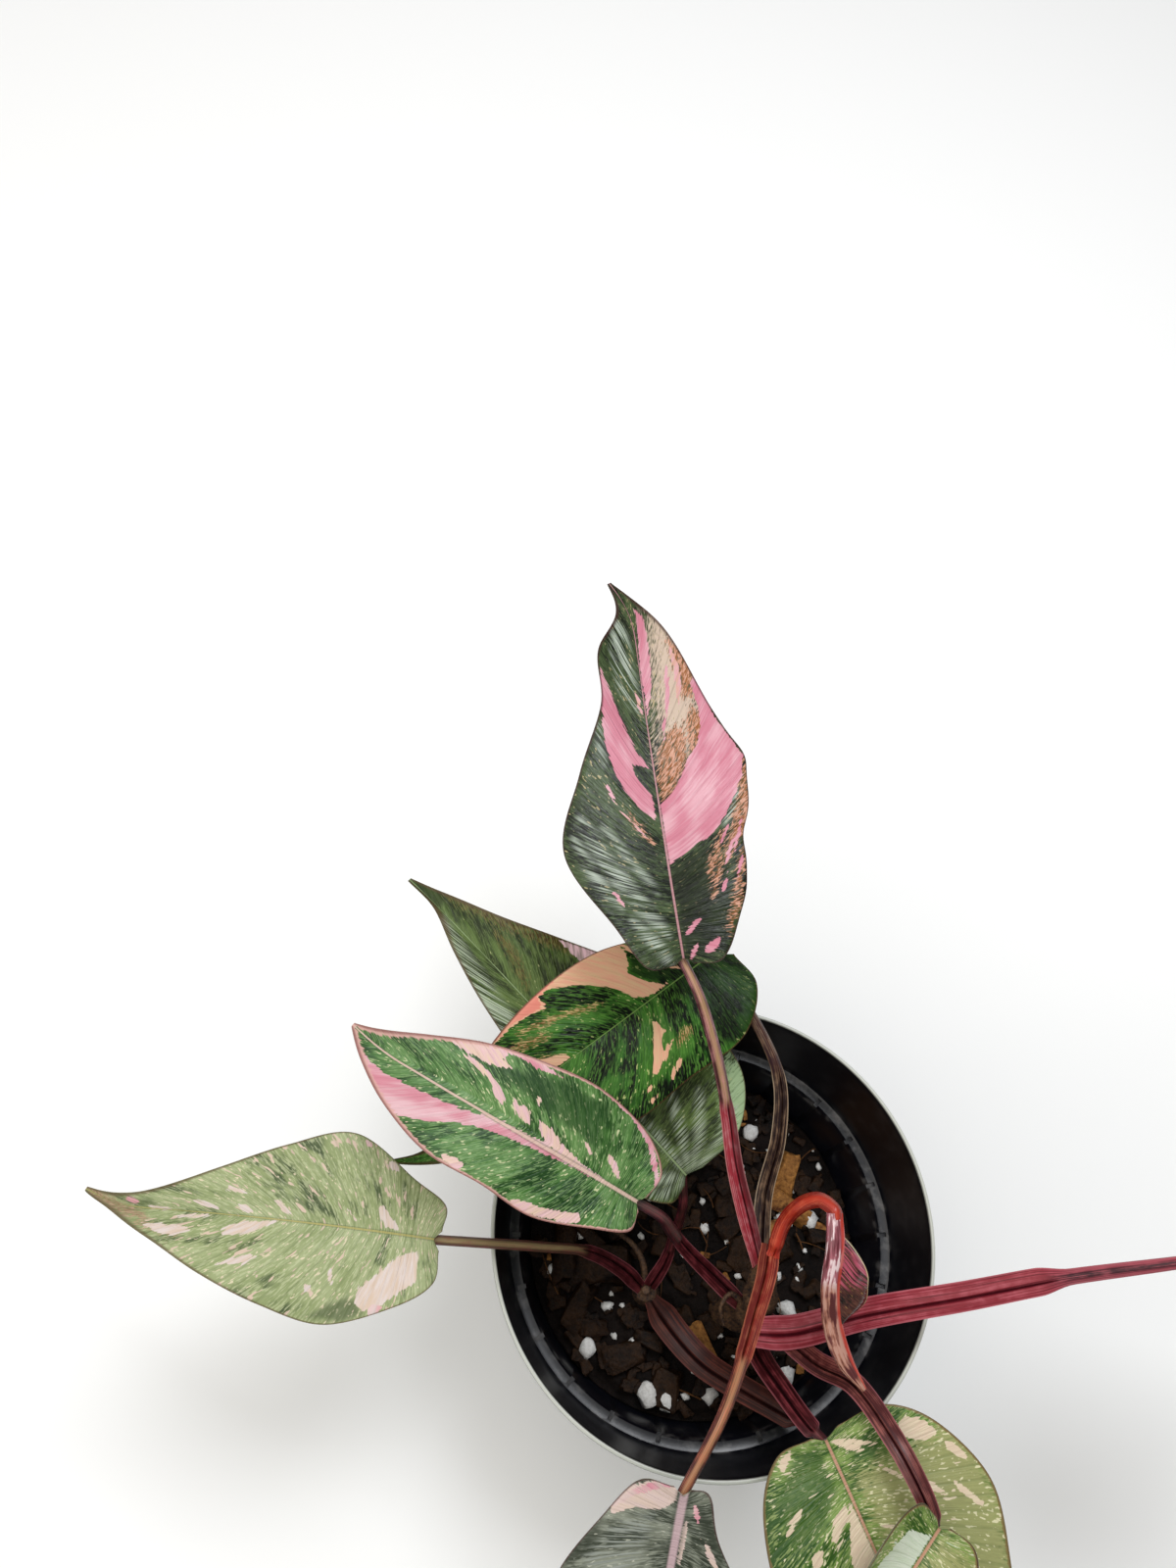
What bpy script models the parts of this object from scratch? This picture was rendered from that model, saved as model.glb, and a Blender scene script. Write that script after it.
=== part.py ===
"""A pink princess philodendron in a black nursery pot.

Two short stems stand in the potting mix. Each carries leaves on sheathed stalks, and the first one a
new leaf that is still rolled. Lengths are in millimetres and angles in degrees; MM turns a length into
Blender's metres. The origin is the middle of the pot's underside, and +Z is up.
"""

import math
import random
from dataclasses import dataclass, replace

import bmesh
import bpy
import numpy as np
from mathutils import Vector, noise

MM = 0.001
UP = Vector((0, 0, 1))

# The pot: a thin moulded wall with a wide collar, a shoulder inside it and drain holes in the floor
POT_HEIGHT = 92.0
RIM_RADIUS = 52.5
COLLAR_HEIGHT = 23.0
COLLAR_TAPER = 3.0
SHOULDER_WIDTH = 3.0
WALL = 1.1
BASE_RADIUS = 36.5
FLOOR = 1.8
POT_SIDES = 48
COLLAR_STEP = 1.2
RIM_EDGE = 1.8
FOOT_EDGE = 1.2
DRAIN_HOLES = 8
DRAIN_RADIUS = 3.6
DRAIN_RING = 25.0
DRAIN_SIDES = 12
NOTCHES = 24
NOTCH_WIDTH = 1.1
NOTCH_DEPTH = 0.7
SHOULDER_Z = POT_HEIGHT - COLLAR_HEIGHT
SHOULDER_RADIUS = RIM_RADIUS - COLLAR_TAPER - WALL

# The potting mix, with bark chips and perlite standing out of it
SOIL_Z = 54.0
SOIL_ROUGHNESS = 1.6
SOIL_GRAIN = 0.09
SOIL_CLEARANCE = 0.35
SOIL_SIDES = 48
SOIL_TOP_RINGS = (39.0, 31.0, 22.0, 12.0, 4.0)
STEM_HOLE_CLEARANCE = 0.5
SCATTER_RADIUS = 35.0
SCATTER_SPACING = 3.5
STEM_CLEARANCE = 11.0
CHIP_COUNT = 34
GRAIN_COUNT = 22
CHIP_TILT = 12.0
SOIL_SEED = 7

# Leaf blades and stalks
BLADE_THICKNESS = 0.8
BLADE_ROWS = 15
BLADE_COLUMNS = (0.0, 0.24, 0.52, 0.78, 1.0)
STATIONS = (0.08, 0.26, 0.44, 0.62, 0.78, 0.90)
TIP_WIDTH = 0.5
SINUS = 0.16
VEIN_CROWDING = 1.9
VEIN_CURVE = 1.3
TAIL_START = 0.78
STALK_GAP = 0.42


def spline(points, share):
    """A point at a share from 0 to 1 along a Catmull-Rom curve through evenly counted points."""
    points = [Vector(p) for p in points]
    spans = len(points) - 1
    place = min(max(share, 0.0), 1.0) * spans
    i = min(int(place), spans - 1)
    t = place - i
    before = points[i - 1] if i > 0 else points[0] * 2 - points[1]
    after = points[i + 2] if i + 2 <= spans else points[-1] * 2 - points[-2]
    a, b = points[i], points[i + 1]
    return 0.5 * (
        2 * a
        + (b - before) * t
        + (2 * before - 5 * a + 4 * b - after) * t**2
        + (3 * a - before - 3 * b + after) * t**3
    )


def smooth(share):
    """An even step from 0 to 1 with flat ends."""
    share = min(max(share, 0.0), 1.0)
    return share * share * (3 - 2 * share)


def direction(heading, pitch):
    """The unit vector at a compass heading from +X towards +Y and a rise above level."""
    h, p = math.radians(heading), math.radians(pitch)
    return Vector((math.cos(h) * math.cos(p), math.sin(h) * math.cos(p), math.sin(p)))


def material(name, colour, roughness, metallic=0.0):
    """A Principled material of one colour, given as linear red, green and blue."""
    made = bpy.data.materials.new(name)
    made.use_nodes = True
    shader = made.node_tree.nodes["Principled BSDF"]
    shader.inputs["Base Color"].default_value = (*colour, 1)
    shader.inputs["Roughness"].default_value = roughness
    shader.inputs["Metallic"].default_value = metallic
    made.diffuse_color = (*colour, 1)
    return made


def add_object(name, mesh_data, finish):
    """Turns a bmesh given in millimetres into a named, smooth-shaded object."""
    bmesh.ops.recalc_face_normals(mesh_data, faces=mesh_data.faces)
    bmesh.ops.scale(mesh_data, vec=(MM, MM, MM), verts=mesh_data.verts)
    mesh = bpy.data.meshes.new(name)
    mesh_data.to_mesh(mesh)
    mesh_data.free()
    mesh.shade_smooth()
    mesh.set_sharp_from_angle(angle=math.radians(40))
    obj = bpy.data.objects.new(name, mesh)
    obj.data.materials.append(finish)
    bpy.context.scene.collection.objects.link(obj)
    return obj


def loft(rings):
    """A closed bmesh through rings that have the same number of points, capped at both ends."""
    made = bmesh.new()
    rows = [[made.verts.new(p) for p in ring] for ring in rings]
    count = len(rows[0])
    for lower, upper in zip(rows, rows[1:]):
        for i in range(count):
            j = (i + 1) % count
            made.faces.new((lower[i], lower[j], upper[j], upper[i]))
    made.faces.new(rows[0][::-1])
    made.faces.new(rows[-1])
    return made


def tube(points, radii, sides, rows):
    """A closed bmesh round a curve, with a radius for each of its points."""
    rings = []
    for row in range(rows + 1):
        share = row / rows
        here = spline(points, share)
        way = spline(points, min(share + 0.02, 1)) - spline(points, max(share - 0.02, 0))
        side = way.cross(Vector((0.3, 1, 0))).normalized()
        front = side.cross(way).normalized()
        radius = spline([(r, 0, 0) for r in radii], share).x
        angles = [2 * math.pi * i / sides for i in range(sides)]
        rings.append([here + (side * math.cos(a) + front * math.sin(a)) * radius for a in angles])
    return loft(rings)


def circle(radius, z, sides):
    """The points of a level ring about the pot's axis."""
    turn = 2 * math.pi / sides
    return [Vector((radius * math.cos(i * turn), radius * math.sin(i * turn), z)) for i in range(sides)]


def cut(target, cutters, operation="DIFFERENCE", solver="EXACT"):
    """Applies one Boolean of a group of objects to the target, then removes the group."""
    group = bpy.data.collections.new("cutters")
    bpy.context.scene.collection.children.link(group)
    for cutter in cutters:
        bpy.context.scene.collection.objects.unlink(cutter)
        group.objects.link(cutter)
    change = target.modifiers.new("cut", "BOOLEAN")
    change.operation = operation
    change.solver = solver
    change.operand_type = "COLLECTION"
    change.collection = group
    bpy.context.view_layer.objects.active = target
    bpy.ops.object.modifier_apply(modifier="cut")
    for cutter in cutters:
        bpy.data.objects.remove(cutter)
    bpy.data.collections.remove(group)


def inner_radius(z):
    """The pot's inside radius at a height under the shoulder."""
    top = SHOULDER_RADIUS - SHOULDER_WIDTH
    low = BASE_RADIUS - WALL
    return low + (top - low) * (z - FLOOR) / (SHOULDER_Z - FLOOR)


def make_pot(finish):
    """The pot's wall, turned from its section, with drain holes and the notches in its shoulder."""
    collar_foot = SHOULDER_Z - COLLAR_STEP
    section = [
        (BASE_RADIUS - FOOT_EDGE, 0.0),
        (BASE_RADIUS, FOOT_EDGE),
        (inner_radius(collar_foot) + WALL, collar_foot),
        (SHOULDER_RADIUS + WALL - 0.4, collar_foot),
        (SHOULDER_RADIUS + WALL, SHOULDER_Z),
        (RIM_RADIUS - 0.3, POT_HEIGHT - 2.2),
        (RIM_RADIUS, POT_HEIGHT - 1.0),
        (RIM_RADIUS - 0.6, POT_HEIGHT),
        (RIM_RADIUS - 1.5, POT_HEIGHT - 0.4),
        (RIM_RADIUS - RIM_EDGE, POT_HEIGHT - 2.0),
        (SHOULDER_RADIUS, SHOULDER_Z + 0.4),
        (SHOULDER_RADIUS - 0.5, SHOULDER_Z),
        (SHOULDER_RADIUS - SHOULDER_WIDTH + 0.3, SHOULDER_Z),
        (SHOULDER_RADIUS - SHOULDER_WIDTH, SHOULDER_Z - 0.5),
        (BASE_RADIUS - WALL, FLOOR),
    ]
    pot = add_object("pot", loft([circle(r, z, POT_SIDES) for r, z in section]), finish)
    cutters = []
    for i in range(DRAIN_HOLES):
        centre = direction(i * 360 / DRAIN_HOLES, 0) * DRAIN_RING
        ring = [centre + p for p in circle(DRAIN_RADIUS, 0, DRAIN_SIDES)]
        drill = loft([[p + UP * z for p in ring] for z in (-FLOOR, 2 * FLOOR)])
        cutters.append(add_object(f"drain_{i}", drill, finish))
    for i in range(NOTCHES):
        out = direction((i + 0.5) * 360 / NOTCHES, 0)
        side = out.cross(UP) * NOTCH_WIDTH / 2
        near, far = out * (SHOULDER_RADIUS - SHOULDER_WIDTH - 2), out * (SHOULDER_RADIUS - 0.9)
        low = [near - side, far - side, far + side, near + side]
        bar = loft([[p + UP * z for p in low] for z in (SHOULDER_Z - NOTCH_DEPTH, SHOULDER_Z + 2)])
        cutters.append(add_object(f"notch_{i}", bar, finish))
    cut(pot, cutters)
    return pot


def soil_height(x, y):
    """The height of the potting mix at a place, uneven as a loose mix settles."""
    return SOIL_Z + SOIL_ROUGHNESS * noise.noise(Vector((x * SOIL_GRAIN, y * SOIL_GRAIN, SOIL_SEED)))


def make_chip(name, centre, size, turn, tilt, finish):
    """A bark chip: a flat splinter with uneven corners, sunk in the mix by half."""
    length, width, depth = size
    along, across = direction(turn, tilt), direction(turn + 90, 0)
    rise = along.cross(across) * depth / 2
    corners = [(-1, -0.7), (0.9, -1), (1, 0.6), (-0.8, 1)]
    base = [along * a * length / 2 + across * b * width / 2 for a, b in corners]
    rings = [[centre + p - rise for p in base], [centre + p * 0.82 + rise for p in base]]
    return add_object(name, loft(rings), finish)


def make_grain(name, centre, radius, turn, finish):
    """A perlite grain: a puffed, slightly drawn-out ball."""
    ball = bmesh.new()
    bmesh.ops.create_icosphere(ball, subdivisions=1, radius=radius)
    along = direction(turn, 0)
    for vert in ball.verts:
        vert.co += along * along.dot(vert.co) * 0.35
        vert.co += centre
    return add_object(name, ball, finish)


# Bark chips and perlite grains that the eye picks out: place, size and turn
BARK_CHIPS = [
    ((-24.0, -9.5), (17, 9, 5), 12),
    ((-33.0, -7.0), (6, 15, 5), 5),
    ((4.4, -26.0), (13, 5, 4), -52),
    ((0.5, -20.5), (8, 4, 3), -48),
    ((23.5, 19.0), (12, 5, 5), 78),
    ((24.0, 11.5), (13, 5, 4), -22),
    ((21.5, 6.0), (8, 3, 3), 30),
    ((-15.0, -30.0), (10, 6, 4), 25),
    ((-4.0, -36.0), (9, 7, 4), 80),
    ((-28.0, -20.0), (12, 5, 4), 70),
]
PERLITE = [
    ((-8.0, -37.5), 2.6, 100),
    ((-3.0, -38.3), 2.4, 70),
    ((1.5, -37.0), 0.9, 0),
    ((-24.5, -29.5), 2.1, 75),
    ((-36.0, -12.5), 1.2, 40),
    ((-20.5, -19.0), 1.3, 20),
    ((-13.0, -27.0), 1.3, 50),
    ((30.0, 9.0), 2.3, -40),
    ((23.5, 8.0), 1.9, -20),
    ((26.0, -14.0), 2.2, -30),
    ((26.5, -29.0), 2.0, 60),
    ((13.0, 29.0), 1.9, 60),
    ((7.5, -36.0), 1.7, 70),
]


def make_soil(finish, stems):
    """The potting mix: it fills the pot to SOIL_Z and has a plain hole for each stem."""
    foot = FLOOR + SOIL_CLEARANCE
    brim = SOIL_Z - 2 * SOIL_ROUGHNESS
    rings = [circle(inner_radius(z) - SOIL_CLEARANCE, z, SOIL_SIDES) for z in (foot, brim)]
    for radius in SOIL_TOP_RINGS:
        ring = circle(radius, 0, SOIL_SIDES)
        rings.append([Vector((p.x, p.y, soil_height(p.x, p.y))) for p in ring])
    soil = add_object("potting_mix", loft(rings), finish)

    rng = random.Random(SOIL_SEED)
    chips, grains = list(BARK_CHIPS), list(PERLITE)
    taken = [Vector(place).to_3d() for place, *_ in chips + grains]
    feet = [Vector((stem.points[1][0], stem.points[1][1], 0)) for stem in stems]
    while len(chips) < CHIP_COUNT or len(grains) < GRAIN_COUNT:
        spot = direction(rng.uniform(0, 360), 0) * SCATTER_RADIUS * math.sqrt(rng.random())
        near_stem = min((spot - place).length for place in feet) < STEM_CLEARANCE
        if near_stem or min((spot - place).length for place in taken) < SCATTER_SPACING:
            continue
        taken.append(spot)
        if len(chips) < CHIP_COUNT:
            size = (rng.uniform(5, 10), rng.uniform(3, 5), rng.uniform(2.5, 4))
            chips.append(((spot.x, spot.y), size, rng.uniform(0, 180)))
        else:
            grains.append(((spot.x, spot.y), rng.uniform(0.7, 1.2), rng.uniform(0, 180)))

    pieces = []
    for i, ((x, y), size, turn) in enumerate(chips):
        centre = Vector((x, y, soil_height(x, y) + 0.2 * size[2]))
        pieces.append(make_chip(f"chip_{i}", centre, size, turn, rng.uniform(-CHIP_TILT, CHIP_TILT), finish))
    for i, ((x, y), radius, turn) in enumerate(grains):
        centre = Vector((x, y, soil_height(x, y) + 0.3 * radius))
        pieces.append(make_grain(f"grain_{i}", centre, radius, turn, finish))
    cut(soil, pieces, operation="UNION", solver="MANIFOLD")

    sockets = [stem.socket(finish) for stem in stems]
    cut(soil, sockets, solver="MANIFOLD")
    return soil


def frame_at(curve, share, step=0.01):
    """The place, way, side and upper normal of a curve at a share along it."""
    here = spline(curve, share)
    way = (spline(curve, min(share + step, 1)) - spline(curve, max(share - step, 0))).normalized()
    side = way.cross(UP).normalized()
    return here, way, side, side.cross(way)


@dataclass(frozen=True)
class Stem:
    """A short stem with a ring at each old leaf scar, from under the mix to its growing end, and the small
    growths on it: aerial roots and dried bracts, each a curve and a radius for each of its points."""

    name: str
    points: tuple
    radius: float
    scars: tuple
    growths: tuple = ()

    def girth(self, share):
        """The stem's radius at a share along it."""
        swelling = 1 + 0.16 * sum(math.exp(-(((share - scar) / 0.04) ** 2)) for scar in self.scars)
        return self.radius * swelling * (1 - 0.35 * smooth((share - 0.8) / 0.2))

    def foothold(self, share, toward):
        """Where a stalk that leads towards a point starts, just off the stem's skin."""
        here = spline(self.points, share)
        way = (spline(self.points, min(share + 0.02, 1)) - spline(self.points, share - 0.02)).normalized()
        out = Vector(toward) - here
        out -= way * out.dot(way)
        return tuple(here + out.normalized() * (self.girth(share) + STALK_GAP))

    def outline(self, sides, rows, extra=0.0, last=1.0):
        """The stem without its growths as a closed bmesh, wider all round by extra."""
        shares = [last * row / rows for row in range(rows + 1)]
        radii = [self.girth(share) + extra for share in shares]
        path = [spline(self.points, share) for share in shares]
        path[0] -= UP * extra
        return tube(path, radii, sides, rows)

    def build(self, finish):
        """The stem joined with its growths."""
        stem = add_object(self.name, self.outline(10, 18), finish)
        growths = [
            add_object(f"{self.name}_growth_{i}", tube(points, radii, 7, 12), finish)
            for i, (points, radii) in enumerate(self.growths)
        ]
        cut(stem, growths, operation="UNION", solver="MANIFOLD")
        return stem

    def socket(self, finish):
        """The cutter for the plain hole that the stem stands in."""
        return add_object(self.name + "_socket", self.outline(10, 12, STEM_HOLE_CLEARANCE, 0.7), finish)


@dataclass(frozen=True)
class Stalk:
    """A leaf stalk: an open sheath with a raised margin on each side, which ends in two small ears, then
    a round rod with a shallow groove."""

    name: str
    node: float
    points: tuple
    sheath_width: float
    sheath_end: float
    rod: float
    leaf: str = ""
    end_rod: float = 1.1
    base_width: float = 3.4
    depth: float = 0.75

    def section(self, share):
        """Half width, underside depth and top height at the middle of the stalk's section."""
        sheathed = 1 - smooth((share - self.sheath_end + 0.03) / 0.06)
        spread = smooth(share / 0.12)
        sheath = self.base_width + (self.sheath_width - self.base_width) * spread
        sheath *= 1 - 0.3 * share / max(self.sheath_end, 0.01)
        rod = self.rod + (self.end_rod - self.rod) * smooth((share - 0.5) / 0.5)
        half = rod + (sheath / 2 - rod) * sheathed
        under = rod + (self.depth * sheath / 2 - rod) * sheathed
        top = rod * 0.75 + (-0.35 * under - rod * 0.75) * sheathed
        return half, under, top

    def ring(self, share):
        """The points round the stalk's section at a share along it."""
        here, _, side, up = frame_at(self.points, share)
        half, under, top = self.section(share)
        outside = [math.radians(-180 * i / 6) for i in range(7)]
        ring = [here + side * half * math.cos(a) + up * under * math.sin(a) for a in outside]
        for x in (-0.66, 0.0, 0.66):
            ring.append(here + side * half * x + up * top * (1 - x * x))
        return ring

    def build(self, finish):
        """The stalk, lofted through its sections."""
        rows = 16
        return add_object(self.name, loft([self.ring(i / rows) for i in range(rows + 1)]), finish)


def chain(points, shares):
    """The places at shares from 0 to 1 along a Catmull-Rom curve, for an array of shares."""
    points = np.array(points, float)
    padded = np.vstack([2 * points[0] - points[1], points, 2 * points[-1] - points[-2]])
    spans = len(points) - 1
    place = np.clip(np.asarray(shares, float), 0, 1) * spans
    i = np.minimum(place.astype(int), spans - 1)
    t = (place - i)[..., None]
    before, a, b, after = (padded[i + k] for k in range(4))
    return 0.5 * (
        2 * a
        + (b - before) * t
        + (2 * before - 5 * a + 4 * b - after) * t**2
        + (3 * a - before - 3 * b + after) * t**3
    )


def headings(heading, pitch):
    """Unit vectors at arrays of compass headings and rises, in degrees."""
    h, p = np.radians(heading), np.radians(pitch)
    return np.stack([np.cos(h) * np.cos(p), np.sin(h) * np.cos(p), np.sin(p)], axis=-1)


@dataclass(frozen=True)
class Leaf:
    """A leaf blade: where its stalk joins, how its midrib runs, how wide and how bent each half is.

    heading and pitch are the midrib's at its base. Over its length it turns by sweep, falls by droop and
    twists by twist, and its last stretch, the drip tip, turns by tail as well. roll lifts the left half.
    left and right are the half widths at STATIONS, and lobe is how far each half reaches behind the base.
    fold is each half's rise from the midrib, and cup its further turn by the margin.
    """

    name: str
    base: tuple
    heading: float
    pitch: float
    length: float
    left: tuple
    right: tuple
    lobe: float = 5.0
    sweep: float = 0.0
    droop: float = 0.0
    roll: float = 0.0
    twist: float = 0.0
    tail: float = 0.0
    fold: float = 10.0
    fold_left: float = 0.0
    cup: float = -12.0
    wave: float = 1.0
    waves: float = 2.5
    phase: float = 0.0

    def outline(self, veins, side):
        """Where each vein meets the margin: lengths along and across the midrib."""
        widths = self.right if side > 0 else self.left
        along = [-self.lobe, -0.85 * self.lobe, *(share * self.length for share in STATIONS), self.length]
        across = [SINUS * widths[0], 0.62 * widths[0], *widths, TIP_WIDTH]
        return np.moveaxis(chain(list(zip(along, across)), veins), -1, 0)

    def ways(self, shares):
        """The midrib's direction at shares of its length."""
        tail = np.clip((shares - TAIL_START) / (1 - TAIL_START), 0, 1)
        tail = tail * tail * (3 - 2 * tail)
        heading = self.heading + self.sweep * shares + self.tail * tail
        return headings(heading, self.pitch - self.droop * shares)

    def midrib(self, along):
        """Places, ways, right sides and upper normals at lengths along the midrib, from its base."""
        steps = 120
        middles = (np.arange(steps) + 0.5) / steps
        path = np.vstack([np.zeros(3), np.cumsum(self.ways(middles), axis=0) * self.length / steps])
        path += np.array(self.base)
        shares = np.clip(along / self.length, 0, 1)
        ways = self.ways(shares)
        marks = np.linspace(0, 1, steps + 1)
        places = np.stack([np.interp(shares, marks, path[:, k]) for k in range(3)], axis=-1)
        places = places + ways * np.minimum(along, 0)[..., None]
        level = np.cross(ways, (0, 0, 1))
        level /= np.linalg.norm(level, axis=-1, keepdims=True)
        roll = np.radians(self.roll + self.twist * shares)[..., None]
        sides = level * np.cos(roll) - np.cross(level, ways) * np.sin(roll)
        return places, ways, sides, np.cross(sides, ways)

    def stalk_end(self, radius):
        """Where a stalk of this radius stops, just under the blade where its midrib starts."""
        place, way, _, normal = (part[0] for part in self.midrib(np.zeros(1)))
        return tuple(place + way * 0.3 - normal * (radius + BLADE_THICKNESS / 2 + STALK_GAP))

    def surface(self, veins, outs, side):
        """The middle surface at arrays of veins, from base to tip, and of shares out to the margin, on
        side 1 for the right half or -1 for the left."""
        edge_along, edge_across = self.outline(veins, side)
        start = self.length * veins**VEIN_CROWDING
        along = start + (edge_along - start) * outs**VEIN_CURVE
        across = edge_across * outs
        half = max(self.right if side > 0 else self.left)
        places, _, sides, normals = self.midrib(along)
        fold = math.radians(self.fold + (self.fold_left if side < 0 else 0.0))
        cup = math.radians(self.cup if abs(self.cup) > 0.1 else 0.1)
        turned = fold + cup * across / half
        level = (np.sin(turned) - math.sin(fold)) * half / cup
        rise = (math.cos(fold) - np.cos(turned)) * half / cup
        ripple = np.sin(2 * math.pi * (self.waves * veins + self.phase) + side)
        rise = rise + self.wave * ripple * outs**2 * np.sin(math.pi * np.clip(veins, 0, 1)) ** 0.5
        return places + sides * (side * level)[..., None] + normals * rise[..., None]

    def build(self, finish):
        """The blade as a thin sheet whose two faces are split into the same triangles."""
        outs = np.array(BLADE_COLUMNS)
        veins = np.linspace(0, 1, BLADE_ROWS + 1)
        grid = np.meshgrid(veins, outs, indexing="ij")
        left, right = self.surface(*grid, -1), self.surface(*grid, 1)
        places = np.concatenate([left[:, :0:-1], right], axis=1)
        sheet = bmesh.new()
        rows = [[sheet.verts.new(place) for place in row] for row in places]
        for lower, upper in zip(rows, rows[1:]):
            for i in range(len(lower) - 1):
                sheet.faces.new((lower[i], lower[i + 1], upper[i + 1], upper[i]))
        bmesh.ops.triangulate(sheet, faces=sheet.faces)
        blade = add_object(self.name, sheet, finish)
        wall = blade.modifiers.new("thickness", "SOLIDIFY")
        wall.thickness = BLADE_THICKNESS * MM
        wall.offset = 0
        return blade


@dataclass(frozen=True)
class RolledLeaf:
    """A young blade that is still rolled up: a soft tapering roll with a flap that has started to open."""

    name: str
    points: tuple
    radii: tuple
    flap: tuple
    flap_turn: float

    def build(self, finish):
        """The roll, lofted through sections of a ring with the flap standing out of it."""
        rows, sides = 20, 12
        rings = []
        for row in range(rows + 1):
            share = row / rows
            here = spline(self.points, share)
            way = spline(self.points, min(share + 0.02, 1)) - spline(self.points, max(share - 0.02, 0))
            side = way.cross(UP).normalized()
            up = side.cross(way).normalized()
            radius = spline([(r, 0, 0) for r in self.radii], share).x
            reach = max(spline([(r, 0, 0) for r in self.flap], share).x, 0.0)
            turn = math.radians(self.flap_turn)
            out = side * math.cos(turn) + up * math.sin(turn)
            across = out.cross(way).normalized() * BLADE_THICKNESS / 2
            ring = [here + out * (radius + reach) - across, here + out * (radius + reach) + across]
            for i in range(1, sides):
                angle = turn + 2 * math.pi * i / sides
                ring.append(here + (side * math.cos(angle) * 1.1 + up * math.sin(angle) * 0.8) * radius)
            rings.append(ring)
        return add_object(self.name, loft(rings), finish)


MAIN_STEM = Stem(
    name="main_stem",
    points=(
        (8.5, -16.0, 38.0),
        (9.3, -16.4, 54.0),
        (12.2, -17.0, 68.0),
        (13.4, -15.5, 80.0),
        (12.4, -9.5, 90.0),
        (11.7, -6.6, 98.0),
    ),
    radius=3.6,
    scars=(0.36, 0.52, 0.68, 0.84),
    growths=(
        (
            ((12.0, -16.2, 76.0), (7.2, -13.2, 79.0), (5.0, -16.4, 78.0), (6.4, -20.2, 75.6)),
            (1.5, 1.0, 0.8, 0.45),
        ),
    ),
)
SIDE_STEM = Stem(
    name="side_stem",
    points=((-10.5, -13.5, 40.0), (-10.8, -14.0, 50.0), (-11.2, -14.5, 57.0), (-11.6, -14.2, 61.0)),
    radius=3.0,
    scars=(0.55, 0.85),
    growths=(
        (
            ((-11.8, -12.6, 58.6), (-13.2, -7.6, 61.0), (-16.6, -3.6, 61.6), (-21.6, -0.9, 59.2)),
            (1.0, 0.8, 0.7, 0.5),
        ),
    ),
)

LEAVES = [
    Leaf(
        name="top_leaf",
        base=(-18.2, 49.4, 138.0),
        heading=106,
        pitch=8,
        length=99,
        left=(14, 23, 17.5, 10.5, 9.5, 3),
        right=(14, 19, 20.5, 15, 9.5, 3.5),
        lobe=1.5,
        sweep=-5,
        tail=26,
        droop=16,
    ),
    Leaf(
        name="cream_leaf",
        base=(-8.0, 60.8, 110.0),
        heading=225,
        pitch=4,
        length=92,
        left=(20, 20, 20, 13.5, 5.5, 2),
        right=(10.5, 16.5, 17, 13.5, 6.5, 2),
        lobe=3.7,
        sweep=-4,
        tail=-34,
        droop=26,
        roll=-8,
    ),
    Leaf(
        name="green_leaf",
        base=(-20.8, 0.8, 114.0),
        heading=156,
        pitch=24,
        length=74,
        left=(10, 15, 15, 15, 11, 5.5),
        right=(13.5, 15.5, 14, 11.5, 7, 3.5),
        lobe=1.5,
        sweep=7,
        tail=-14,
        droop=30,
    ),
    Leaf(
        name="rear_leaf",
        base=(-7.7, 10.8, 91.0),
        heading=142,
        pitch=14,
        length=99,
        left=(12.5, 12.5, 11.5, 9, 5, 1),
        right=(27.5, 29, 25, 17, 9, 4),
        lobe=1.5,
        tail=2,
        droop=14,
    ),
    Leaf(
        name="left_leaf",
        base=(-63.9, -11.8, 102.0),
        heading=180,
        pitch=6,
        length=80,
        left=(15, 20, 17.5, 12.5, 6.5, 2),
        right=(12, 20, 16, 10, 4.5, 2),
        lobe=1.5,
        sweep=4,
        tail=-22,
        droop=16,
    ),
    Leaf(
        name="front_leaf",
        base=(-7.0, -52.3, 125.0),
        heading=265,
        pitch=-16,
        length=77,
        left=(8, 16.5, 17.5, 13.5, 8, 3),
        right=(14, 21.5, 20.5, 15.5, 9, 3),
        lobe=1.5,
        sweep=10,
        tail=5,
        droop=30,
        fold=4,
    ),
    Leaf(
        name="low_leaf",
        base=(25.5, -40.4, 102.0),
        heading=300,
        pitch=4,
        length=79,
        left=(23.5, 29, 25, 18, 9.5, 3),
        right=(18.5, 22.5, 20.5, 15, 8.5, 3),
        lobe=1.5,
        sweep=4,
        tail=-29,
        droop=36,
    ),
    Leaf(
        name="folded_leaf",
        base=(45.9, -52.6, 114.0),
        heading=238,
        pitch=-6,
        length=66,
        left=(12, 14, 13.5, 10.5, 6, 2.5),
        right=(12, 14, 13.5, 10.5, 6, 2.5),
        lobe=1.5,
        droop=20,
        fold=12,
        cup=64,
    ),
    Leaf(
        name="right_leaf",
        base=(94.0, 3.0, 143.0),
        heading=8,
        pitch=10,
        length=86,
        left=(19, 20, 17.5, 13, 7, 2.5),
        right=(19, 20, 17.5, 13, 7, 2.5),
        droop=30,
    ),
]

NEW_LEAF = RolledLeaf(
    name="new_leaf",
    points=(
        (21.9, 1.5, 119.1),
        (22.2, -3.6, 117.6),
        (22.5, -10.5, 113.5),
        (24.0, -18.0, 110.0),
        (27.2, -24.5, 108.0),
        (32.2, -29.8, 106.8),
    ),
    radii=(1.5, 2.1, 2.2, 2.0, 1.8, 0.7),
    flap=(0.0, 0.6, 5.8, 1.6, 0.0, 0.0),
    flap_turn=185.0,
)

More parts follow.
